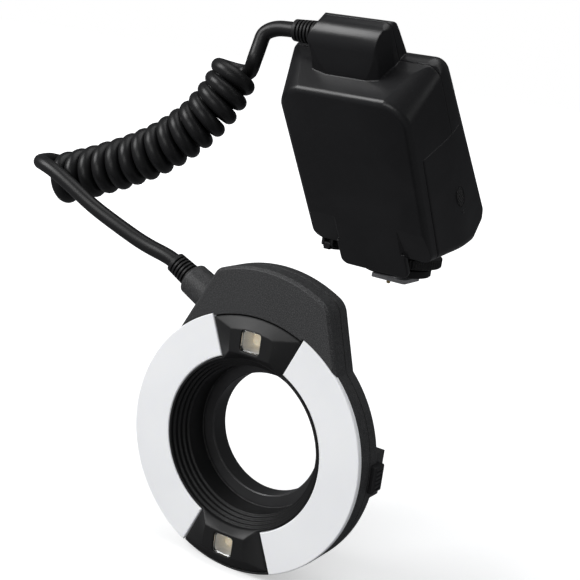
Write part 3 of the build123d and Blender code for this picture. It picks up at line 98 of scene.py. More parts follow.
def new_group(name, sockets_in, sockets_out):
    """Empty shader group with named sockets, and its input and output nodes."""
    tree = bpy.data.node_groups.new(name, "ShaderNodeTree")
    kinds = {"value": "NodeSocketFloat", "colour": "NodeSocketColor", "vector": "NodeSocketVector"}
    for label, kind in sockets_in:
        tree.interface.new_socket(name=label, in_out="INPUT", socket_type=kinds[kind])
    for label, kind in sockets_out:
        tree.interface.new_socket(name=label, in_out="OUTPUT", socket_type=kinds[kind])
    return tree, tree.nodes.new("NodeGroupInput").outputs, tree.nodes.new("NodeGroupOutput").inputs


def use_group(tree, group, inputs):
    """A group placed in a material with its own values."""
    made = tree.nodes.new("ShaderNodeGroup")
    made.node_tree = group
    for key, value in inputs.items():
        if isinstance(value, bpy.types.NodeSocket):
            tree.links.new(value, made.inputs[key])
        else:
            made.inputs[key].default_value = value
    return made.outputs


# Effects that several materials share
def edge_wear_and_rim_highlight_group():
    """Mask that is 1 on convex edges, broken up by noise: edge wear on most materials, and a painted rim
    highlight on the frosted windows.
    """
    tree, given, out = new_group("edge_wear_and_rim_highlight", [("Width", "value"), ("Breakup", "value")],
                                 [("Mask", "value")])
    place = node(tree, "ShaderNodeTexCoord").outputs["Object"]
    bevel = node(tree, "ShaderNodeBevel", {"Radius": given["Width"]}, samples=4)
    surface = node(tree, "ShaderNodeNewGeometry").outputs["Normal"]
    dot = node(tree, "ShaderNodeVectorMath", {0: bevel.outputs[0], 1: surface}, operation="DOT_PRODUCT")
    edge = between(tree, dot.outputs["Value"], 0.985, 0.88)
    specks = node(tree, "ShaderNodeTexNoise",
                  {"Vector": place, "Scale": 700.0, "Detail": 4.0, "Roughness": 0.6})
    broken = between(tree, specks.outputs["Fac"], 0.35, 0.65)
    share = maths(tree, "MULTIPLY", given["Breakup"], maths(tree, "SUBTRACT", 1.0, broken))
    tree.links.new(maths(tree, "MULTIPLY", edge, maths(tree, "SUBTRACT", 1.0, share), True), out["Mask"])
    return tree


def handling_group():
    """Slow clouds of finger grease, from 0 to 1, and a few lighter dust specks."""
    tree, given, out = new_group("handling", [("Size", "value")], [("Smudge", "value"), ("Specks", "value")])
    place = node(tree, "ShaderNodeTexCoord").outputs["Object"]
    slow = node(tree, "ShaderNodeTexNoise", {"Vector": place, "Scale": given["Size"], "Detail": 5.0,
                                             "Roughness": 0.55, "Distortion": 0.6})
    tree.links.new(between(tree, slow.outputs["Fac"], 0.32, 0.68), out["Smudge"])
    fine = node(tree, "ShaderNodeTexVoronoi", {"Vector": place, "Scale": 420.0}, feature="F1")
    tree.links.new(between(tree, fine.outputs["Distance"], 0.10, 0.06), out["Specks"])
    return tree


def grain_group():
    """Spark-eroded mould grain as a height: small pits on a rolling ground."""
    tree, given, out = new_group("mould_grain", [("Scale", "value")], [("Height", "value")])
    place = node(tree, "ShaderNodeTexCoord").outputs["Object"]
    pits = node(tree, "ShaderNodeTexVoronoi",
                {"Vector": place, "Scale": given["Scale"], "Randomness": 1.0}, feature="SMOOTH_F1")
    wide = maths(tree, "MULTIPLY", given["Scale"], 0.55)
    ground = node(tree, "ShaderNodeTexNoise",
                  {"Vector": place, "Scale": wide, "Detail": 3.0, "Roughness": 0.6})
    pitted = maths(tree, "MULTIPLY", pits.outputs["Distance"], 0.6)
    tree.links.new(maths(tree, "ADD", pitted, ground.outputs["Fac"]), out["Height"])
    return tree


def turned_lines_group():
    """Fine lathe lines round the lens axis or an upright axis, as a height and a tone."""
    tree, given, out = new_group("turned_lines",
                                 [("Centre", "vector"), ("Across", "vector"), ("Scale", "value")],
                                 [("Height", "value"), ("Tone", "value")])
    place = node(tree, "ShaderNodeTexCoord").outputs["Object"]

    def vectors(operation, a, b):
        """Output of a Vector Math node with two inputs."""
        return node(tree, "ShaderNodeVectorMath", {0: a, 1: b}, operation=operation).outputs[0]

    def length(a):
        """Length of a vector."""
        return node(tree, "ShaderNodeVectorMath", {0: a}, operation="LENGTH").outputs["Value"]

    from_axis = vectors("SUBTRACT", place, given["Centre"])
    flat = vectors("MULTIPLY", from_axis, given["Across"])
    line = maths(tree, "ADD", length(flat), length(vectors("SUBTRACT", from_axis, flat)))
    rings = node(tree, "ShaderNodeTexNoise",
                 {"W": maths(tree, "MULTIPLY", line, given["Scale"]), "Scale": 1.0, "Detail": 3.0,
                  "Roughness": 0.7}, noise_dimensions="1D")
    tree.links.new(rings.outputs["Fac"], out["Height"])
    tree.links.new(between(tree, rings.outputs["Fac"], 0.3, 0.7), out["Tone"])
    return tree


edge_wear_and_rim_highlight = edge_wear_and_rim_highlight_group()
handling = handling_group()
mould_grain = grain_group()
turned_lines = turned_lines_group()


# Materials
def start_material(name):
    """A material whose shader is joined to its output, with the tree and the shader."""
    made = bpy.data.materials.new(name)
    made.use_nodes = True
    tree = made.node_tree
    tree.nodes.clear()
    shader = tree.nodes.new("ShaderNodeBsdfPrincipled")
    target = tree.nodes.new("ShaderNodeOutputMaterial")
    tree.links.new(shader.outputs["BSDF"], target.inputs["Surface"])
    return made, tree, shader


def rgb(r, g, b):
    """Colour with full alpha."""
    return (r, g, b, 1.0)


def moulded(name, colour, rough, grain=1800.0, depth=0.05, wear=0.35, spread=0.10, tint=1.35,
            specular=0.32, rounding=0.5 * mm, fleck=0.0):
    """Moulded plastic or rubber: mould grain, flecks, worn and softly rounded edges, smudges and dust."""
    made, tree, shader = start_material(name)
    worn_and_highlit_edge = use_group(tree, edge_wear_and_rim_highlight, {"Width": 0.35 * mm, "Breakup": 0.6})["Mask"]
    touched = use_group(tree, handling, {"Size": 38.0})
    height = use_group(tree, mould_grain, {"Scale": grain})["Height"]
    light = rgb(*[min(1.0, c * tint + 0.004) for c in colour])
    worn_colour = rgb(*[min(1.0, c * 2.2 + 0.02) for c in colour])
    toned = blend_colours(tree, maths(tree, "MULTIPLY", touched["Smudge"], 0.55), rgb(*colour), light)
    toned = blend_colours(tree, maths(tree, "MULTIPLY", worn_and_highlit_edge, wear), toned, worn_colour)
    if fleck:
        place = node(tree, "ShaderNodeTexCoord").outputs["Object"]
        spots = node(tree, "ShaderNodeTexNoise", {"Vector": place, "Scale": 2500.0, "Detail": 2.0})
        for limit, factor in ((0.68, 3.2), (0.34, 0.35)):
            share = between(tree, spots.outputs["Fac"], 0.5, limit, 0.0, fleck)
            toned = blend_colours(tree, share, toned, rgb(*[c * factor for c in colour]))
    dust = maths(tree, "MULTIPLY", touched["Specks"], 0.05)
    toned = blend_colours(tree, dust, toned, rgb(0.35, 0.35, 0.34))
    tree.links.new(toned, shader.inputs["Base Color"])
    ground = between(tree, touched["Smudge"], 0.0, 1.0, rough + spread / 2, rough - spread / 2)
    ground = maths(tree, "SUBTRACT", ground, maths(tree, "MULTIPLY", worn_and_highlit_edge, 0.12))
    tree.links.new(ground, shader.inputs["Roughness"])
    soft_edge = node(tree, "ShaderNodeBevel", {"Radius": rounding}, samples=6)
    bump = node(tree, "ShaderNodeBump", {"Height": height, "Strength": depth, "Distance": 0.12 * mm,
                                         "Normal": soft_edge.outputs[0]})
    tree.links.new(bump.outputs["Normal"], shader.inputs["Normal"])
    shader.inputs["Specular IOR Level"].default_value = specular
    return made


def metal(name, colour, rough, centre, across, lines=9000.0, metallic=1.0, wear=0.3):
    """Turned metal with lathe lines, worn edges and smudges."""
    made, tree, shader = start_material(name)
    worn_and_highlit_edge = use_group(tree, edge_wear_and_rim_highlight, {"Width": 0.25 * mm, "Breakup": 0.5})["Mask"]
    touched = use_group(tree, handling, {"Size": 60.0})
    turned = use_group(tree, turned_lines, {"Centre": centre, "Across": across, "Scale": lines})
    dark = rgb(*[c * 0.82 for c in colour])
    toned = blend_colours(tree, turned["Tone"], dark, rgb(*colour))
    toned = blend_colours(tree, maths(tree, "MULTIPLY", worn_and_highlit_edge, wear), toned, rgb(0.75, 0.75, 0.74))
    tree.links.new(toned, shader.inputs["Base Color"])
    ground = between(tree, touched["Smudge"], 0.0, 1.0, rough - 0.05, rough + 0.1)
    tree.links.new(ground, shader.inputs["Roughness"])
    bump = node(tree, "ShaderNodeBump",
                {"Height": turned["Height"], "Strength": 0.12, "Distance": 0.05 * mm})
    tree.links.new(bump.outputs["Normal"], shader.inputs["Normal"])
    shader.inputs["Metallic"].default_value = metallic
    return made


def clear_plastic(name, colour, rough, ior=1.49):
    """Clear moulding with faint flow waves and smudges."""
    made, tree, shader = start_material(name)
    place = node(tree, "ShaderNodeTexCoord").outputs["Object"]
    flow = node(tree, "ShaderNodeTexNoise", {"Vector": place, "Scale": 220.0, "Detail": 2.0})
    touched = use_group(tree, handling, {"Size": 120.0})
    toned = blend_colours(tree, maths(tree, "MULTIPLY", touched["Smudge"], 0.3), rgb(*colour),
                          rgb(*[c * 0.95 for c in colour]))
    tree.links.new(toned, shader.inputs["Base Color"])
    ground = between(tree, touched["Smudge"], 0.0, 1.0, rough, rough + 0.06)
    tree.links.new(ground, shader.inputs["Roughness"])
    bump = node(tree, "ShaderNodeBump",
                {"Height": flow.outputs["Fac"], "Strength": 0.06, "Distance": 0.2 * mm})
    tree.links.new(bump.outputs["Normal"], shader.inputs["Normal"])
    shader.inputs["Transmission Weight"].default_value = 1.0
    shader.inputs["IOR"].default_value = ior
    return made


def frosted_white(name):
    """Frosted light window: cool white with a painted glow that stands in for light shining through it, a
    painted highlight on its rims, and fine moulded frost.
    """
    made, tree, shader = start_material(name)
    place = node(tree, "ShaderNodeTexCoord").outputs["Object"]
    clouds = node(tree, "ShaderNodeTexNoise", {"Vector": place, "Scale": 26.0, "Detail": 3.0})
    toned = blend_colours(tree, between(tree, clouds.outputs["Fac"], 0.35, 0.65), rgb(0.87, 0.875, 0.888),
                          rgb(0.91, 0.915, 0.925))
    # Painted highlight: the edge mask lightens the window's rims to a bluish white that stands in for a
    # bright rim of light.
    worn_and_highlit_edge = use_group(tree, edge_wear_and_rim_highlight, {"Width": 0.5 * mm, "Breakup": 0.2})["Mask"]
    toned = blend_colours(tree, maths(tree, "MULTIPLY", worn_and_highlit_edge, 0.7), toned, rgb(0.95, 0.96, 0.98))
    tree.links.new(toned, shader.inputs["Base Color"])
    frost = use_group(tree, mould_grain, {"Scale": 2600.0})["Height"]
    bump = node(tree, "ShaderNodeBump", {"Height": frost, "Strength": 0.05, "Distance": 0.1 * mm})
    tree.links.new(bump.outputs["Normal"], shader.inputs["Normal"])
    tree.links.new(between(tree, clouds.outputs["Fac"], 0.3, 0.7, 0.36, 0.46), shader.inputs["Roughness"])
    shader.inputs["Subsurface Weight"].default_value = 0.25
    shader.inputs["Subsurface Radius"].default_value = (3 * mm, 3 * mm, 3.4 * mm)
    # Painted glow: this faint bluish emission stands in for light scattered through the frosted window.
    shader.inputs["Emission Strength"].default_value = 0.09
    shader.inputs["Emission Color"].default_value = rgb(0.95, 0.97, 1.0)
    return made


def warm_lamp(name):
    """Small lamp with a warm glow, as if lit by the light that its cup gathers."""
    made, tree, shader = start_material(name)
    place = node(tree, "ShaderNodeTexCoord").outputs["Object"]
    frost = node(tree, "ShaderNodeTexNoise", {"Vector": place, "Scale": 900.0, "Detail": 3.0})
    toned = blend_colours(tree, frost.outputs["Fac"], rgb(0.88, 0.72, 0.46), rgb(0.99, 0.90, 0.70))
    tree.links.new(toned, shader.inputs["Base Color"])
    tree.links.new(toned, shader.inputs["Emission Color"])
    tree.links.new(between(tree, frost.outputs["Fac"], 0.3, 0.7, 0.12, 0.22), shader.inputs["Roughness"])
    bump = node(tree, "ShaderNodeBump",
                {"Height": frost.outputs["Fac"], "Strength": 0.1, "Distance": 0.05 * mm})
    tree.links.new(bump.outputs["Normal"], shader.inputs["Normal"])
    shader.inputs["Emission Strength"].default_value = 0.30
    shader.inputs["Coat Weight"].default_value = 0.8
    return made


def laminate(name):
    """Green circuit board with copper traces under the mask."""
    made, tree, shader = start_material(name)
    place = node(tree, "ShaderNodeTexCoord").outputs["Object"]
    cells = node(tree, "ShaderNodeTexVoronoi", {"Vector": place, "Scale": 260.0, "Randomness": 0.6},
                 feature="DISTANCE_TO_EDGE", distance="EUCLIDEAN")
    traces = between(tree, cells.outputs["Distance"], 0.10, 0.06)
    toned = blend_colours(tree, traces, rgb(0.012, 0.075, 0.032), rgb(0.035, 0.15, 0.06))
    tree.links.new(toned, shader.inputs["Base Color"])
    bump = node(tree, "ShaderNodeBump", {"Height": traces, "Strength": 0.2, "Distance": 0.05 * mm})
    tree.links.new(bump.outputs["Normal"], shader.inputs["Normal"])
    tree.links.new(between(tree, traces, 0.0, 1.0, 0.42, 0.30), shader.inputs["Roughness"])
    return made


casing_black = moulded("casing_black", (0.0095, 0.0095, 0.0104), 0.33, grain=2100.0, depth=0.12,
                       specular=0.45, rounding=0.8 * mm)
ring_charcoal = moulded("ring_charcoal", (0.033, 0.0332, 0.034), 0.48, grain=1150.0, depth=0.60, wear=0.5,
                        fleck=0.6)
barrel_black = moulded("barrel_black", (0.0085, 0.0085, 0.0088), 0.44, grain=2400.0, depth=0.12, wear=0.45,
                       rounding=1.1 * mm)
base_black = moulded("base_black", (0.009, 0.009, 0.0095), 0.45, grain=2000.0, depth=0.12)
key_grey = moulded("key_grey", (0.030, 0.030, 0.032), 0.52, grain=2400.0, depth=0.08)
button_black = moulded("button_black", (0.012, 0.012, 0.013), 0.42, grain=2200.0, depth=0.08)
wheel_black = moulded("wheel_black", (0.012, 0.012, 0.012), 0.42, grain=2200.0, depth=0.08, wear=0.6)
holder_grey = moulded("holder_grey", (0.045, 0.045, 0.047), 0.58, grain=1800.0, depth=0.15)
cord_rubber = moulded("cord_rubber", (0.0095, 0.0095, 0.0100), 0.38, grain=3000.0, depth=0.06, wear=0.0,
                      spread=0.14)
relief_rubber = moulded("relief_rubber", (0.010, 0.010, 0.0105), 0.46, grain=2600.0, depth=0.08, wear=0.4)
capacitor_sleeve = moulded("capacitor_sleeve", (0.014, 0.014, 0.02), 0.3, grain=900.0, wear=0.2)
cell_wrap = moulded("cell_wrap", (0.05, 0.055, 0.06), 0.32, grain=900.0, depth=0.03, wear=0.6)
shoe_metal = metal("shoe_metal", (0.62, 0.62, 0.63), 0.30, (0, 0, 0), (1, 1, 0))
adapter_metal = metal("adapter_metal", (0.060, 0.060, 0.062), 0.38, RING_CENTRE, (1, 0, 1), metallic=0.6)
gold_plate = metal("gold_plate", (0.83, 0.62, 0.25), 0.22, (0, 0, 0), (1, 1, 0), wear=0.1)
black_steel = metal("black_steel", (0.10, 0.10, 0.105), 0.32, (0, 0, 0), (1, 1, 1), metallic=0.9)
mirror_metal = metal("mirror_metal", (0.88, 0.88, 0.89), 0.12, RING_CENTRE, (1, 0, 1), lines=3000.0)
window_clear = clear_plastic("window_clear", (0.97, 0.98, 1.0), 0.03)
tube_glass = clear_plastic("tube_glass", (0.99, 0.98, 0.95), 0.01, 1.47)
lamp_glass = warm_lamp("lamp_glass")
cup_metal = metal("cup_metal", (0.88, 0.88, 0.87), 0.34, RING_CENTRE, (1, 1, 1), lines=2500.0, metallic=0.35)
diffuser_white = frosted_white("diffuser_white")
board_green = laminate("board_green")
print_white = moulded("print_white", (0.62, 0.62, 0.61), 0.5, grain=2600.0, wear=0.0, tint=1.05)
lcd_ink = moulded("lcd_ink", (0.02, 0.022, 0.02), 0.3, grain=2600.0, depth=0.02, wear=0.0)
display_grey = moulded("display_grey", (0.30, 0.34, 0.28), 0.25, grain=600.0, depth=0.01, wear=0.0,
                       tint=1.08)


def paint(material, *names):
    """Gives CAD nodes a material."""
    for name in names:
        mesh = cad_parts[name].data
        mesh.materials.clear()
        mesh.materials.append(material)


KEYS = ("lamp", "sync", "ratio", "minus", "set", "plus", "mode", "test")
paint(casing_black, "front_shell", "rear_shell", "battery_door")
paint(base_black, "base_block", "power_socket", "socket_cover", "clamp_plate")
paint(wheel_black, "lock_wheel")
paint(ring_charcoal, "ring_front_shell", "ring_rear_shell")
paint(barrel_black, "inner_barrel")
paint(button_black, "release_button_left", "release_button_right", "power_switch")
paint(key_grey, *[key + "_button" for key in KEYS])
paint(shoe_metal, "shoe_foot")
paint(adapter_metal, "adapter_ring")
paint(gold_plate, "locking_pin", "centre_contact", "side_contacts", "battery_contacts")
paint(black_steel, "door_hinge_pin", "case_screws", "ring_screws")
paint(holder_grey, "battery_holder")
paint(cell_wrap, "batteries")
paint(board_green, "main_board", "key_board", "ring_board")
paint(capacitor_sleeve, "main_capacitor")
paint(display_grey, "display_panel")
paint(window_clear, "display_window", "lamp_lens_top", "lamp_lens_bottom")
paint(diffuser_white, "diffuser_left", "diffuser_right")
paint(mirror_metal, "reflector_left", "reflector_right")
paint(tube_glass, "flash_tube_left", "flash_tube_right")
paint(lamp_glass, "lamp_bulb_top", "lamp_bulb_bottom")
paint(relief_rubber, "unit_strain_relief", "ring_strain_relief")


# Pieces built in mesh code
def new_piece(name, points, faces, material, body, bevel=0.0, stands_for=()):
    """A mesh that rides on a body, with its edges bevelled and its sharp edges kept."""
    mesh = bpy.data.meshes.new(name)
    mesh.from_pydata([tuple(p) for p in points], [], faces)
    shape = bmesh.new()
    shape.from_mesh(mesh)
    bmesh.ops.recalc_face_normals(shape, faces=shape.faces)
    if bevel:
        bmesh.ops.bevel(shape, geom=shape.edges[:], offset=bevel, segments=2, affect="EDGES",
                        clamp_overlap=True)
    shape.to_mesh(mesh)
    shape.free()
    mesh.shade_smooth()
    mesh.set_sharp_from_angle(angle=math.radians(38))
    mesh.materials.append(material)
    piece = bpy.data.objects.new(name, mesh)
    bpy.context.scene.collection.objects.link(piece)
    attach(piece, body)
    if stands_for:
        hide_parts(*stands_for)
    return piece


def slabs(matrix, outlines, low, high):
    """Points and faces of flat prisms, in mm: outlines in a frame's x and z, between two values of its y."""
    points, faces = [], []
    for outline in outlines:
        first, count = len(points), len(outline)
        for y in (low, high):
            points += [matrix @ (Vector((x, y, z)) * mm) for x, z in outline]
        faces.append(tuple(range(first, first + count)))
        faces.append(tuple(range(first + 2 * count - 1, first + count - 1, -1)))
        for i in range(count):
            j = (i + 1) % count
            faces.append((first + i, first + j, first + count + j, first + count + i))
    return points, faces


def bar(x, z, width, height, turn=0.0):
    """Outline of a rectangle round (x, z), turned by degrees."""
    c, s = math.cos(math.radians(turn)), math.sin(math.radians(turn))
    corners = [(a * width / 2, b * height / 2) for a, b in ((-1, -1), (1, -1), (1, 1), (-1, 1))]
    return [(x + c * a - s * b, z + s * a + c * b) for a, b in corners]


def round_spot(x, z, radius, count=20):
    """Outline of a filled circle."""
    turns = [2 * math.pi * i / count for i in range(count)]
    return [(x + radius * math.cos(t), z + radius * math.sin(t)) for t in turns]


def circle_band(x, z, radius, width, count=24):
    """Outlines of the short pieces that make a thin circle."""
    pieces = []
    for i in range(count):
        a, b = (2 * math.pi * k / count for k in (i, i + 1))
        pieces.append([(x + r * math.cos(t), z + r * math.sin(t))
                       for r, t in ((radius, a), (radius + width, a), (radius + width, b), (radius, b))])
    return pieces


KEY_ROWS = (49.01, 35.5, 18.5)
KEY_COLUMN = 20.0


def key_marks():
    """White signs on the keys, and the off and on signs beside the switch."""
    high, middle, low = KEY_ROWS
    inner = KEY_COLUMN * 0.7
    sun = [round_spot(-KEY_COLUMN, high, 0.7)]
    for i in range(8):
        turn = 45 * i
        c, s = math.cos(math.radians(turn)), math.sin(math.radians(turn))
        sun.append(bar(-KEY_COLUMN + 1.25 * c, high + 1.25 * s, 0.5, 0.22, turn))
    bolt = [(-0.3, 2.0), (1.0, 2.0), (0.3, 0.4), (1.1, 0.4), (-0.7, -2.2), (-0.1, -0.3), (-1.0, -0.3)]
    marks = {
        "lamp": sun,
        "sync": [[(x - 1.0, high - 0.9), (x + 0.2, high), (x - 1.0, high + 0.9), (x - 0.6, high + 0.9),
                  (x + 0.6, high), (x - 0.6, high - 0.9)] for x in (-0.5, 1.0)],
        "ratio": [bar(KEY_COLUMN - 1.2, high, 1.3, 1.5), round_spot(KEY_COLUMN, high + 0.4, 0.2),
                  round_spot(KEY_COLUMN, high - 0.4, 0.2)] + [bar(KEY_COLUMN + 1.2, high, 1.3, 1.5)],
        "minus": [bar(-inner, middle, 2.4, 0.45)],
        "set": circle_band(0, middle, 1.7, 0.35) + [round_spot(0, middle, 0.6)],
        "plus": [bar(inner, middle, 2.4, 0.45), bar(inner, middle + 0.72, 0.45, 0.98),
                 bar(inner, middle - 0.72, 0.45, 0.98)],
        "mode": [bar(-KEY_COLUMN, low + 0.8 * k, 3.2 - 0.7 * abs(k), 0.3) for k in (-1, 0, 1)],
        "test": [[(x, low + z) for x, z in bolt]],
    }
    for key, outlines in marks.items():
        points, faces = slabs(REAR, outlines, 0.97, 1.03)
        new_piece(key + "_mark", points, faces, print_white, key + "_key")
    signs = circle_band(13.2, low + 5.0, 0.75, 0.28) + [bar(21.0, low + 5.0, 0.3, 1.9)]
    signs += [bar(x, 57.3, 3.4, 0.22) for x in (-KEY_COLUMN, 0, KEY_COLUMN)]
    points, faces = slabs(REAR, signs, -0.02, 0.03)
    new_piece("switch_signs", points, faces, print_white, ROOT)


# Each segment's column and row in half sizes and its turn, and the segments of each digit
SEGMENTS = {"a": (0, 2, 0), "b": (1, 1, 90), "c": (1, -1, 90), "d": (0, -2, 0), "e": (-1, -1, 90),
            "f": (-1, 1, 90), "g": (0, 0, 0)}
DIGITS = {"1": "bc", "5": "afgcd", "8": "abcdefg", "0": "abcdef"}


def digit(sign, x, z, size):
    """Outlines of a seven-segment digit."""
    found = []
    for letter in DIGITS[sign]:
        column, row, turn = SEGMENTS[letter]
        found.append(bar(x + column * size * 0.5, z + row * size * 0.5, size * 0.78, size * 0.16, turn))
    return found


def display_marks():
    """Dark signs of the liquid crystal display."""
    foot, top = 61.2, 81.8
    outlines = digit("1", -15, 75, 3.4) + [round_spot(-11.2, 76, 0.35), round_spot(-11.2, 74, 0.35)]
    outlines += digit("8", -7.5, 75, 3.4) + digit("5", 8.5, 75, 3.4) + digit("0", 14.5, 75, 3.4)
    outlines += [bar(11.6, 71.6, 0.6, 0.6)]
    for i in range(13):
        outlines.append(bar(-18 + 3 * i, foot + 3.4, 0.35, 1.9 if i % 3 == 0 else 1.1))
    outlines += [bar(0, foot + 1.6, 37.5, 0.3), bar(0, top - 0.2, 37.5, 0.2)]
    outlines += [[(-3.0, foot + 5.2), (-2.2, foot + 6.8), (-3.8, foot + 6.8)], bar(1.2, 76.2, 2.6, 0.35),
                 bar(1.2, 73.8, 2.6, 0.35)]
    points, faces = slabs(REAR, outlines, -2.16, -2.08)
    new_piece("display_marks", points, faces, lcd_ink, ROOT)


def grip_ribs():
    """Ribs in the battery door's thumb oval, and an arrow that shows which way the door slides."""
    depth, height, half_depth, half_height = 26, 29, 3.6, 6.5
    pitch, rib, margin = 1.55, 0.62, 0.55
    place = UNIT @ Matrix.Translation((0, depth * mm, height * mm))
    lean = Matrix.Rotation(math.radians(REAR_LEAN), 4, "X")
    flat = place @ lean @ Matrix(((0, 1, 0, 0), (1, 0, 0, 0), (0, 0, 1, 0), (0, 0, 0, 1)))
    outlines = []
    for k in range(-3, 4):
        half = half_depth * math.sqrt(1 - (pitch * k / half_height) ** 2) - margin
        outlines.append(bar(0, pitch * k, 2 * half, rib))
    points, faces = slabs(flat, outlines, 36.42, 36.88)
    new_piece("door_grip_ribs", points, faces, casing_black, "door", bevel=0.12 * mm)
    arrow = [(-2.0, -9.0), (2.0, -9.0), (0, -12.0)]
    points, faces = slabs(flat, [arrow], 36.3, 36.92)
    new_piece("door_arrow", points, faces, casing_black, "door", bevel=0.1 * mm)


def rounded_square(half, corner, height_share, steps=6):
    """Points of a square with round corners, its height scaled by a share."""
    points = []
    for quarter in range(4):
        turn = math.pi / 2 * quarter
        cx = (half - corner) * (1 if quarter in (0, 3) else -1)
        cz = (half - corner) * (1 if quarter in (0, 1) else -1)
        for i in range(steps + 1):
            angle = turn + math.pi / 2 * i / steps
            points.append((cx + corner * math.cos(angle), height_share * (cz + corner * math.sin(angle))))
    return points


def lamp_cup(name, side):
    """Bright square cup round a focusing lamp, in its well behind the window."""
    inner = [(2.7, 4.02), (3.05, 3.4), (3.4, 2.5), (3.75, 1.4), (4.05, 0.3), (4.3, -0.7), (4.45, -1.35)]
    wall, from_centre, corner_share, height_share = 0.15, 44.9, 0.5, 0.94
    rings = inner + [(half + wall, y) for half, y in reversed(inner)]
    points, faces = [], []
    for half, y in rings:
        outline = rounded_square(half, half * corner_share, height_share)
        for x, z in outline:
            points.append(RING @ (Vector((side * x, y, side * (z + from_centre))) * mm))
    count = len(outline)
    for i in range(len(rings)):
        for j in range(count):
            a, b = i * count, (i + 1) % len(rings) * count
            k = (j + 1) % count
            faces.append((a + j, a + k, b + k, b + j))
    new_piece(name, points, faces, cup_metal, ROOT)


def threaded_adapter():
    """Adapter ring with its real 0.75 mm thread in place of the plain cylinder."""
    pitch, steps, count = 0.75, 8, 192
    thread_radius, thread_start, thread_end, thread_depth, run_out = 29.0, 25.2, 28.2, 0.46, 0.4
    before = [(27.0, 27.8), (27.0, 19.1), (27.4, 18.7), (35.8, 18.7), (36.1, 19.0), (36.1, 19.4),
              (36.0, 19.5), (34.9, 19.5), (34.8, 19.6), (34.8, 23.0), (34.9, 23.1), (36.0, 23.1),
              (36.1, 23.2), (36.1, 24.9), (35.8, thread_start), (28.9, thread_start)]
    thread = [(thread_radius, thread_start + pitch * i / steps) for i in range(1, 4 * steps)]
    profile = before + thread + [(28.4, thread_end), (27.4, thread_end)]
    points, faces = [], []
    for j in range(count):
        angle = 2 * math.pi * j / count
        for i, (radius, y) in enumerate(profile):
            if len(before) <= i < len(before) + len(thread):
                phase = ((y - thread_start) / pitch + j / count) % 1
                fade = min(1.0, (thread_end - y) / pitch)
                flank = 1 - min(1.0, 2.4 * abs(phase - 0.5))
                radius -= thread_depth * flank * fade + run_out * (1 - fade)
            points.append(RING @ (Vector((radius * math.cos(angle), y, radius * math.sin(angle))) * mm))
    size = len(profile)
    for j in range(count):
        a, b = j * size, (j + 1) % count * size
        for i in range(size):
            k = (i + 1) % size
            faces.append((a + i, a + k, b + k, b + i))
    new_piece("threaded_adapter", points, faces, adapter_metal, "adapter",
              stands_for=("adapter_ring",))


key_marks()
display_marks()
grip_ribs()
lamp_cup("lamp_cup_top", 1)
lamp_cup("lamp_cup_bottom", -1)
threaded_adapter()


# Curly cord: the route of the CAD cord, uneven by fractions of a millimetre, with sixteen points to a turn
CORD_DIAMETER = 6.8 * mm
COIL_AXIS = [Vector(p) * mm for p in ((-53.9, -83.0, 94.6), (-56.5, -90.0, 66.4),
                                      (-78.8, -98.0, 46.9), (-132.4, -104.0, 28.9))]
COIL_TURNS = 15.5
TURN_POINTS = 16
COIL_RADII = (7.6 * mm, 8.6 * mm)
SPLINE_SHRINK = 0.981
CLOSER_START = 0.05
COIL_SEED = 3
SETTLING = 0.32 * mm
WOBBLE = 0.22 * mm
STRAIGHT_RUN = 3.5 * mm
LEAD_IN = 4.2 * mm
FIRST_LEAD = [(-38.6, -79.2, 112.3), (-44.6, -79.5, 109.6)]
SECOND_LEAD = [(-134.2, -116.4, 37.4), (-128.8, -119.2, 37.4), (-121.0, -119.6, 35.2),
               (-110.0, -119.2, 30.0), (-97.5, -118.6, 23.5), (-83.0, -117.5, 17.8), (-68.0, -116.0, 12.2)]
UNIT_RELIEF_TIP = (-28.35, 19.5, 112.3)
RING_RELIEF_FOOT = (-41.5, 9, 61.4)
RING_RELIEF_LENGTH = 10.55 * mm
RING_EXIT_ANGLE = math.radians(154.5)


def axis_point(t):
    """Point of the coil's axis."""
    s = 1 - t
    a, b, c, d = COIL_AXIS
    return s ** 3 * a + 3 * s * s * t * b + 3 * s * t * t * c + t ** 3 * d


def coil_steps(count):
    """Values of t that cut the coil's axis into lengths that grow a little towards the ring's end."""
    fine = 20 * count
    points = [axis_point(i / fine) for i in range(fine + 1)]
    runs = [0.0]
    for a, b in zip(points, points[1:]):
        runs.append(runs[-1] + (b - a).length)
    steps, j = [], 0
    for i in range(count + 1):
        share = i / count
        goal = runs[-1] * ((1 - CLOSER_START) * share + CLOSER_START * share ** 3)
        while j < fine and runs[j + 1] < goal:
            j += 1
        part = (goal - runs[j]) / (runs[j + 1] - runs[j]) if j < fine else 0.0
        steps.append(min(1.0, (j + part) / fine))
    return steps


def coil_frame(t):
    """Centre, forward, back and side directions of the coil at t."""
    step = 1e-4
    forward = (axis_point(min(1.0, t + step)) - axis_point(max(0.0, t - step))).normalized()
    back = (Vector((0, 1, 0)) - forward * forward.y).normalized()
    return axis_point(t), forward, back, forward.cross(back)


def coil_points():
    """Points of the coil, left-handed, from the unit's end."""
    noise.seed_set(COIL_SEED)
    count = round(COIL_TURNS * TURN_POINTS)
    points = []
    for i, t in enumerate(coil_steps(count)):
        angle = math.pi / 2 - 2 * math.pi * i / TURN_POINTS
        centre, forward, back, side = coil_frame(t)
        radius = (COIL_RADII[0] + (COIL_RADII[1] - COIL_RADII[0]) * t) / SPLINE_SHRINK
        settled = noise.noise_vector(Vector((0.35 * i / TURN_POINTS, 7.3, 1.9))) * SETTLING
        wobble = noise.noise(Vector((0.8 * i / TURN_POINTS, 2.1, 5.7))) * WOBBLE
        outward = math.cos(angle) * back + math.sin(angle) * side
        points.append(centre + settled + (radius + wobble) * outward)
    return points


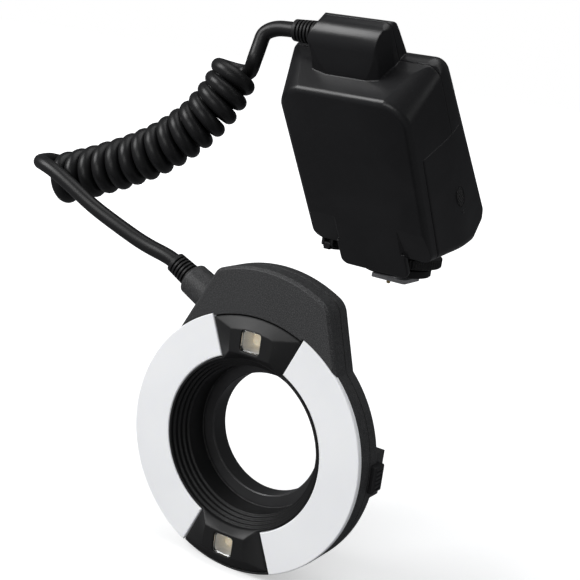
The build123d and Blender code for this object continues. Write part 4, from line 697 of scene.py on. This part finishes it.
def cord_route():
    """Every control point of the cord, from the unit's strain relief to the ring's."""
    relief_tip = UNIT @ (Vector(UNIT_RELIEF_TIP) * mm)
    exit_way = Vector((math.cos(RING_EXIT_ANGLE), 0, math.sin(RING_EXIT_ANGLE)))
    ring_tip = RING @ (Vector(RING_RELIEF_FOOT) * mm + RING_RELIEF_LENGTH * exit_way)
    turns = coil_points()
    centre, forward, back, side = coil_frame(0.0)
    entry = centre + COIL_RADII[0] * side - STRAIGHT_RUN * forward
    start = entry - LEAD_IN * forward
    away = (turns[-1] - turns[-2]).normalized()
    end = turns[-1] + LEAD_IN * away
    first = [relief_tip, relief_tip - Vector((STRAIGHT_RUN, 0, 0))] + [Vector(p) * mm for p in FIRST_LEAD]
    first += [start - STRAIGHT_RUN * forward, start, entry]
    last = [end] + [Vector(p) * mm for p in SECOND_LEAD]
    last += [ring_tip + STRAIGHT_RUN * exit_way, ring_tip]
    return first + turns[3:] + last


def smooth_line(points):
    """Open NURBS spline with those control points, as a curve of no thickness."""
    curve = bpy.data.curves.new("cord", "CURVE")
    curve.dimensions = "3D"
    spline = curve.splines.new("NURBS")
    spline.points.add(len(points) - 1)
    for control, place in zip(spline.points, points):
        control.co = (*place, 1.0)
    spline.order_u = 3
    spline.use_endpoint_u = True
    spline.resolution_u = 6
    return curve


def curly_cord():
    """The whole cord, which stands for the three cord solids."""
    route = cord_route()
    curve = smooth_line(route)
    piece = bpy.data.objects.new("curly_cord", curve)
    bpy.context.scene.collection.objects.link(piece)
    bpy.context.view_layer.update()
    line = bpy.data.meshes.new_from_object(piece)
    curve.bevel_depth = CORD_DIAMETER / 2
    curve.bevel_resolution = 7
    curve.materials.append(cord_rubber)
    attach(piece, ROOT)
    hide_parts("cord_unit_lead", "cord_coil", "cord_ring_lead")
    return piece


curly_cord()


# Camera, floor and light
FOCAL_PIXELS = 1148.651
PICTURE = 580
CAMERA_DISTANCE = 480.656 * mm
RING_CENTRE_PIXEL = (240.378, 444.246)


def camera_axes(azimuth, elevation, roll):
    """Right, up and back directions of the camera."""
    a, e, r = (math.radians(x) for x in (azimuth, elevation, roll))
    back = Vector((math.sin(a) * math.cos(e), -math.cos(a) * math.cos(e), math.sin(e)))
    right = Vector((math.cos(a), math.sin(a), 0))
    up = back.cross(right)
    return (math.cos(r) * right - math.sin(r) * up, math.sin(r) * right + math.cos(r) * up, back)


def photo_camera():
    """Camera that frames the flash as the photograph does."""
    right, up, back = camera_axes(30.193, 12.648, -8.263)
    half = PICTURE / 2
    offset_right = -(RING_CENTRE_PIXEL[0] - half) / FOCAL_PIXELS * CAMERA_DISTANCE
    offset_up = (RING_CENTRE_PIXEL[1] - half) / FOCAL_PIXELS * CAMERA_DISTANCE
    place = RING.translation + offset_right * right + offset_up * up + CAMERA_DISTANCE * back
    data = bpy.data.cameras.new("photo_camera")
    data.sensor_width = 36
    data.lens = FOCAL_PIXELS / PICTURE * data.sensor_width
    data.clip_start, data.clip_end = 0.02, 20
    camera = bpy.data.objects.new("photo_camera", data)
    turn = Matrix((right, up, back)).transposed().to_4x4()
    camera.matrix_world = Matrix.Translation(place) @ turn
    bpy.context.scene.collection.objects.link(camera)
    bpy.context.scene.camera = camera
    return camera


def soft_box(name, place, target, size, power, colour=(1, 1, 1)):
    """Rectangular studio light that points at a target."""
    data = bpy.data.lights.new(name, "AREA")
    data.shape = "RECTANGLE"
    data.size, data.size_y = size
    data.energy = power
    data.color = colour
    lamp = bpy.data.objects.new(name, data)
    aim = (Vector(target) - Vector(place)).to_track_quat("-Z", "Y").to_matrix().to_4x4()
    lamp.matrix_world = Matrix.Translation(place) @ aim
    bpy.context.scene.collection.objects.link(lamp)
    return lamp


def floor_material():
    """Pale paper sweep with a faint tooth, dimmer where the part mirrors it than where it is seen."""
    made, tree, shader = start_material("floor_paper")
    place = node(tree, "ShaderNodeTexCoord").outputs["Object"]
    tooth = node(tree, "ShaderNodeTexNoise", {"Vector": place, "Scale": 300.0, "Detail": 3.0})
    toned = blend_colours(tree, tooth.outputs["Fac"], rgb(0.86, 0.86, 0.86), rgb(0.90, 0.90, 0.90))
    tree.links.new(toned, shader.inputs["Base Color"])
    away = node(tree, "ShaderNodeVectorMath", {0: place}, operation="LENGTH").outputs["Value"]
    glow = between(tree, away, 0.15, 1.2, 0.42, 1.0)
    tree.links.new(blend_colours(tree, glow, rgb(0, 0, 0), rgb(1, 1, 1)), shader.inputs["Emission Color"])
    shader.inputs["Emission Strength"].default_value = 1.0
    mirrored = node(tree, "ShaderNodeBsdfDiffuse", {"Color": rgb(0.16, 0.16, 0.165)})
    seen = node(tree, "ShaderNodeLightPath").outputs["Is Camera Ray"]
    both = node(tree, "ShaderNodeMixShader", {0: seen, 1: mirrored.outputs[0], 2: shader.outputs["BSDF"]})
    target = [n for n in tree.nodes if n.bl_idname == "ShaderNodeOutputMaterial"][0]
    tree.links.new(both.outputs[0], target.inputs["Surface"])
    tree.links.new(between(tree, tooth.outputs["Fac"], 0.3, 0.7, 0.85, 0.95), shader.inputs["Roughness"])
    return made


def studio():
    """Floor under the lowest point, a pale surround and the lights."""
    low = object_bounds()[0].z
    mesh = bpy.data.meshes.new("floor")
    reach = 6.0
    corners = ((-1, -1), (1, -1), (1, 1), (-1, 1))
    mesh.from_pydata([(a * reach, b * reach, low) for a, b in corners], [], [(0, 1, 2, 3)])
    mesh.materials.append(floor_material())
    floor = bpy.data.objects.new("floor", mesh)
    bpy.context.scene.collection.objects.link(floor)
    world = bpy.data.worlds.new("pale_surround")
    bpy.context.scene.world = world
    world.use_nodes = True
    tree = world.node_tree
    tree.nodes.clear()
    rays = node(tree, "ShaderNodeLightPath").outputs
    soft = node(tree, "ShaderNodeBackground", {"Color": rgb(0.94, 0.97, 1.0), "Strength": 0.27})
    dim = node(tree, "ShaderNodeBackground", {"Color": rgb(0.95, 0.97, 1.0), "Strength": 0.07})
    white = node(tree, "ShaderNodeBackground", {"Color": rgb(1, 1, 1), "Strength": 1.0})
    both = node(tree, "ShaderNodeMixShader",
                {0: rays["Is Glossy Ray"], 1: soft.outputs[0], 2: dim.outputs[0]})
    both = node(tree, "ShaderNodeMixShader",
                {0: rays["Is Camera Ray"], 1: both.outputs[0], 2: white.outputs[0]})
    target = tree.nodes.new("ShaderNodeOutputWorld")
    tree.links.new(both.outputs[0], target.inputs["Surface"])
    middle = (0, -80 * mm, 0)
    soft_box("key_left", (-0.9, -1.1, 0.9), middle, (0.9, 0.9), 20)
    soft_box("top", (0.1, 0.1, 1.3), middle, (1.2, 1.0), 6)
    soft_box("right_edge", (1.2, 0.1, 0.7), middle, (0.5, 1.2), 1.6)
    soft_box("front_fill", (0.1, -1.5, 0.1), middle, (0.8, 0.8), 5)
    bpy.context.scene.view_settings.view_transform = "Standard"


photo_camera()
studio()
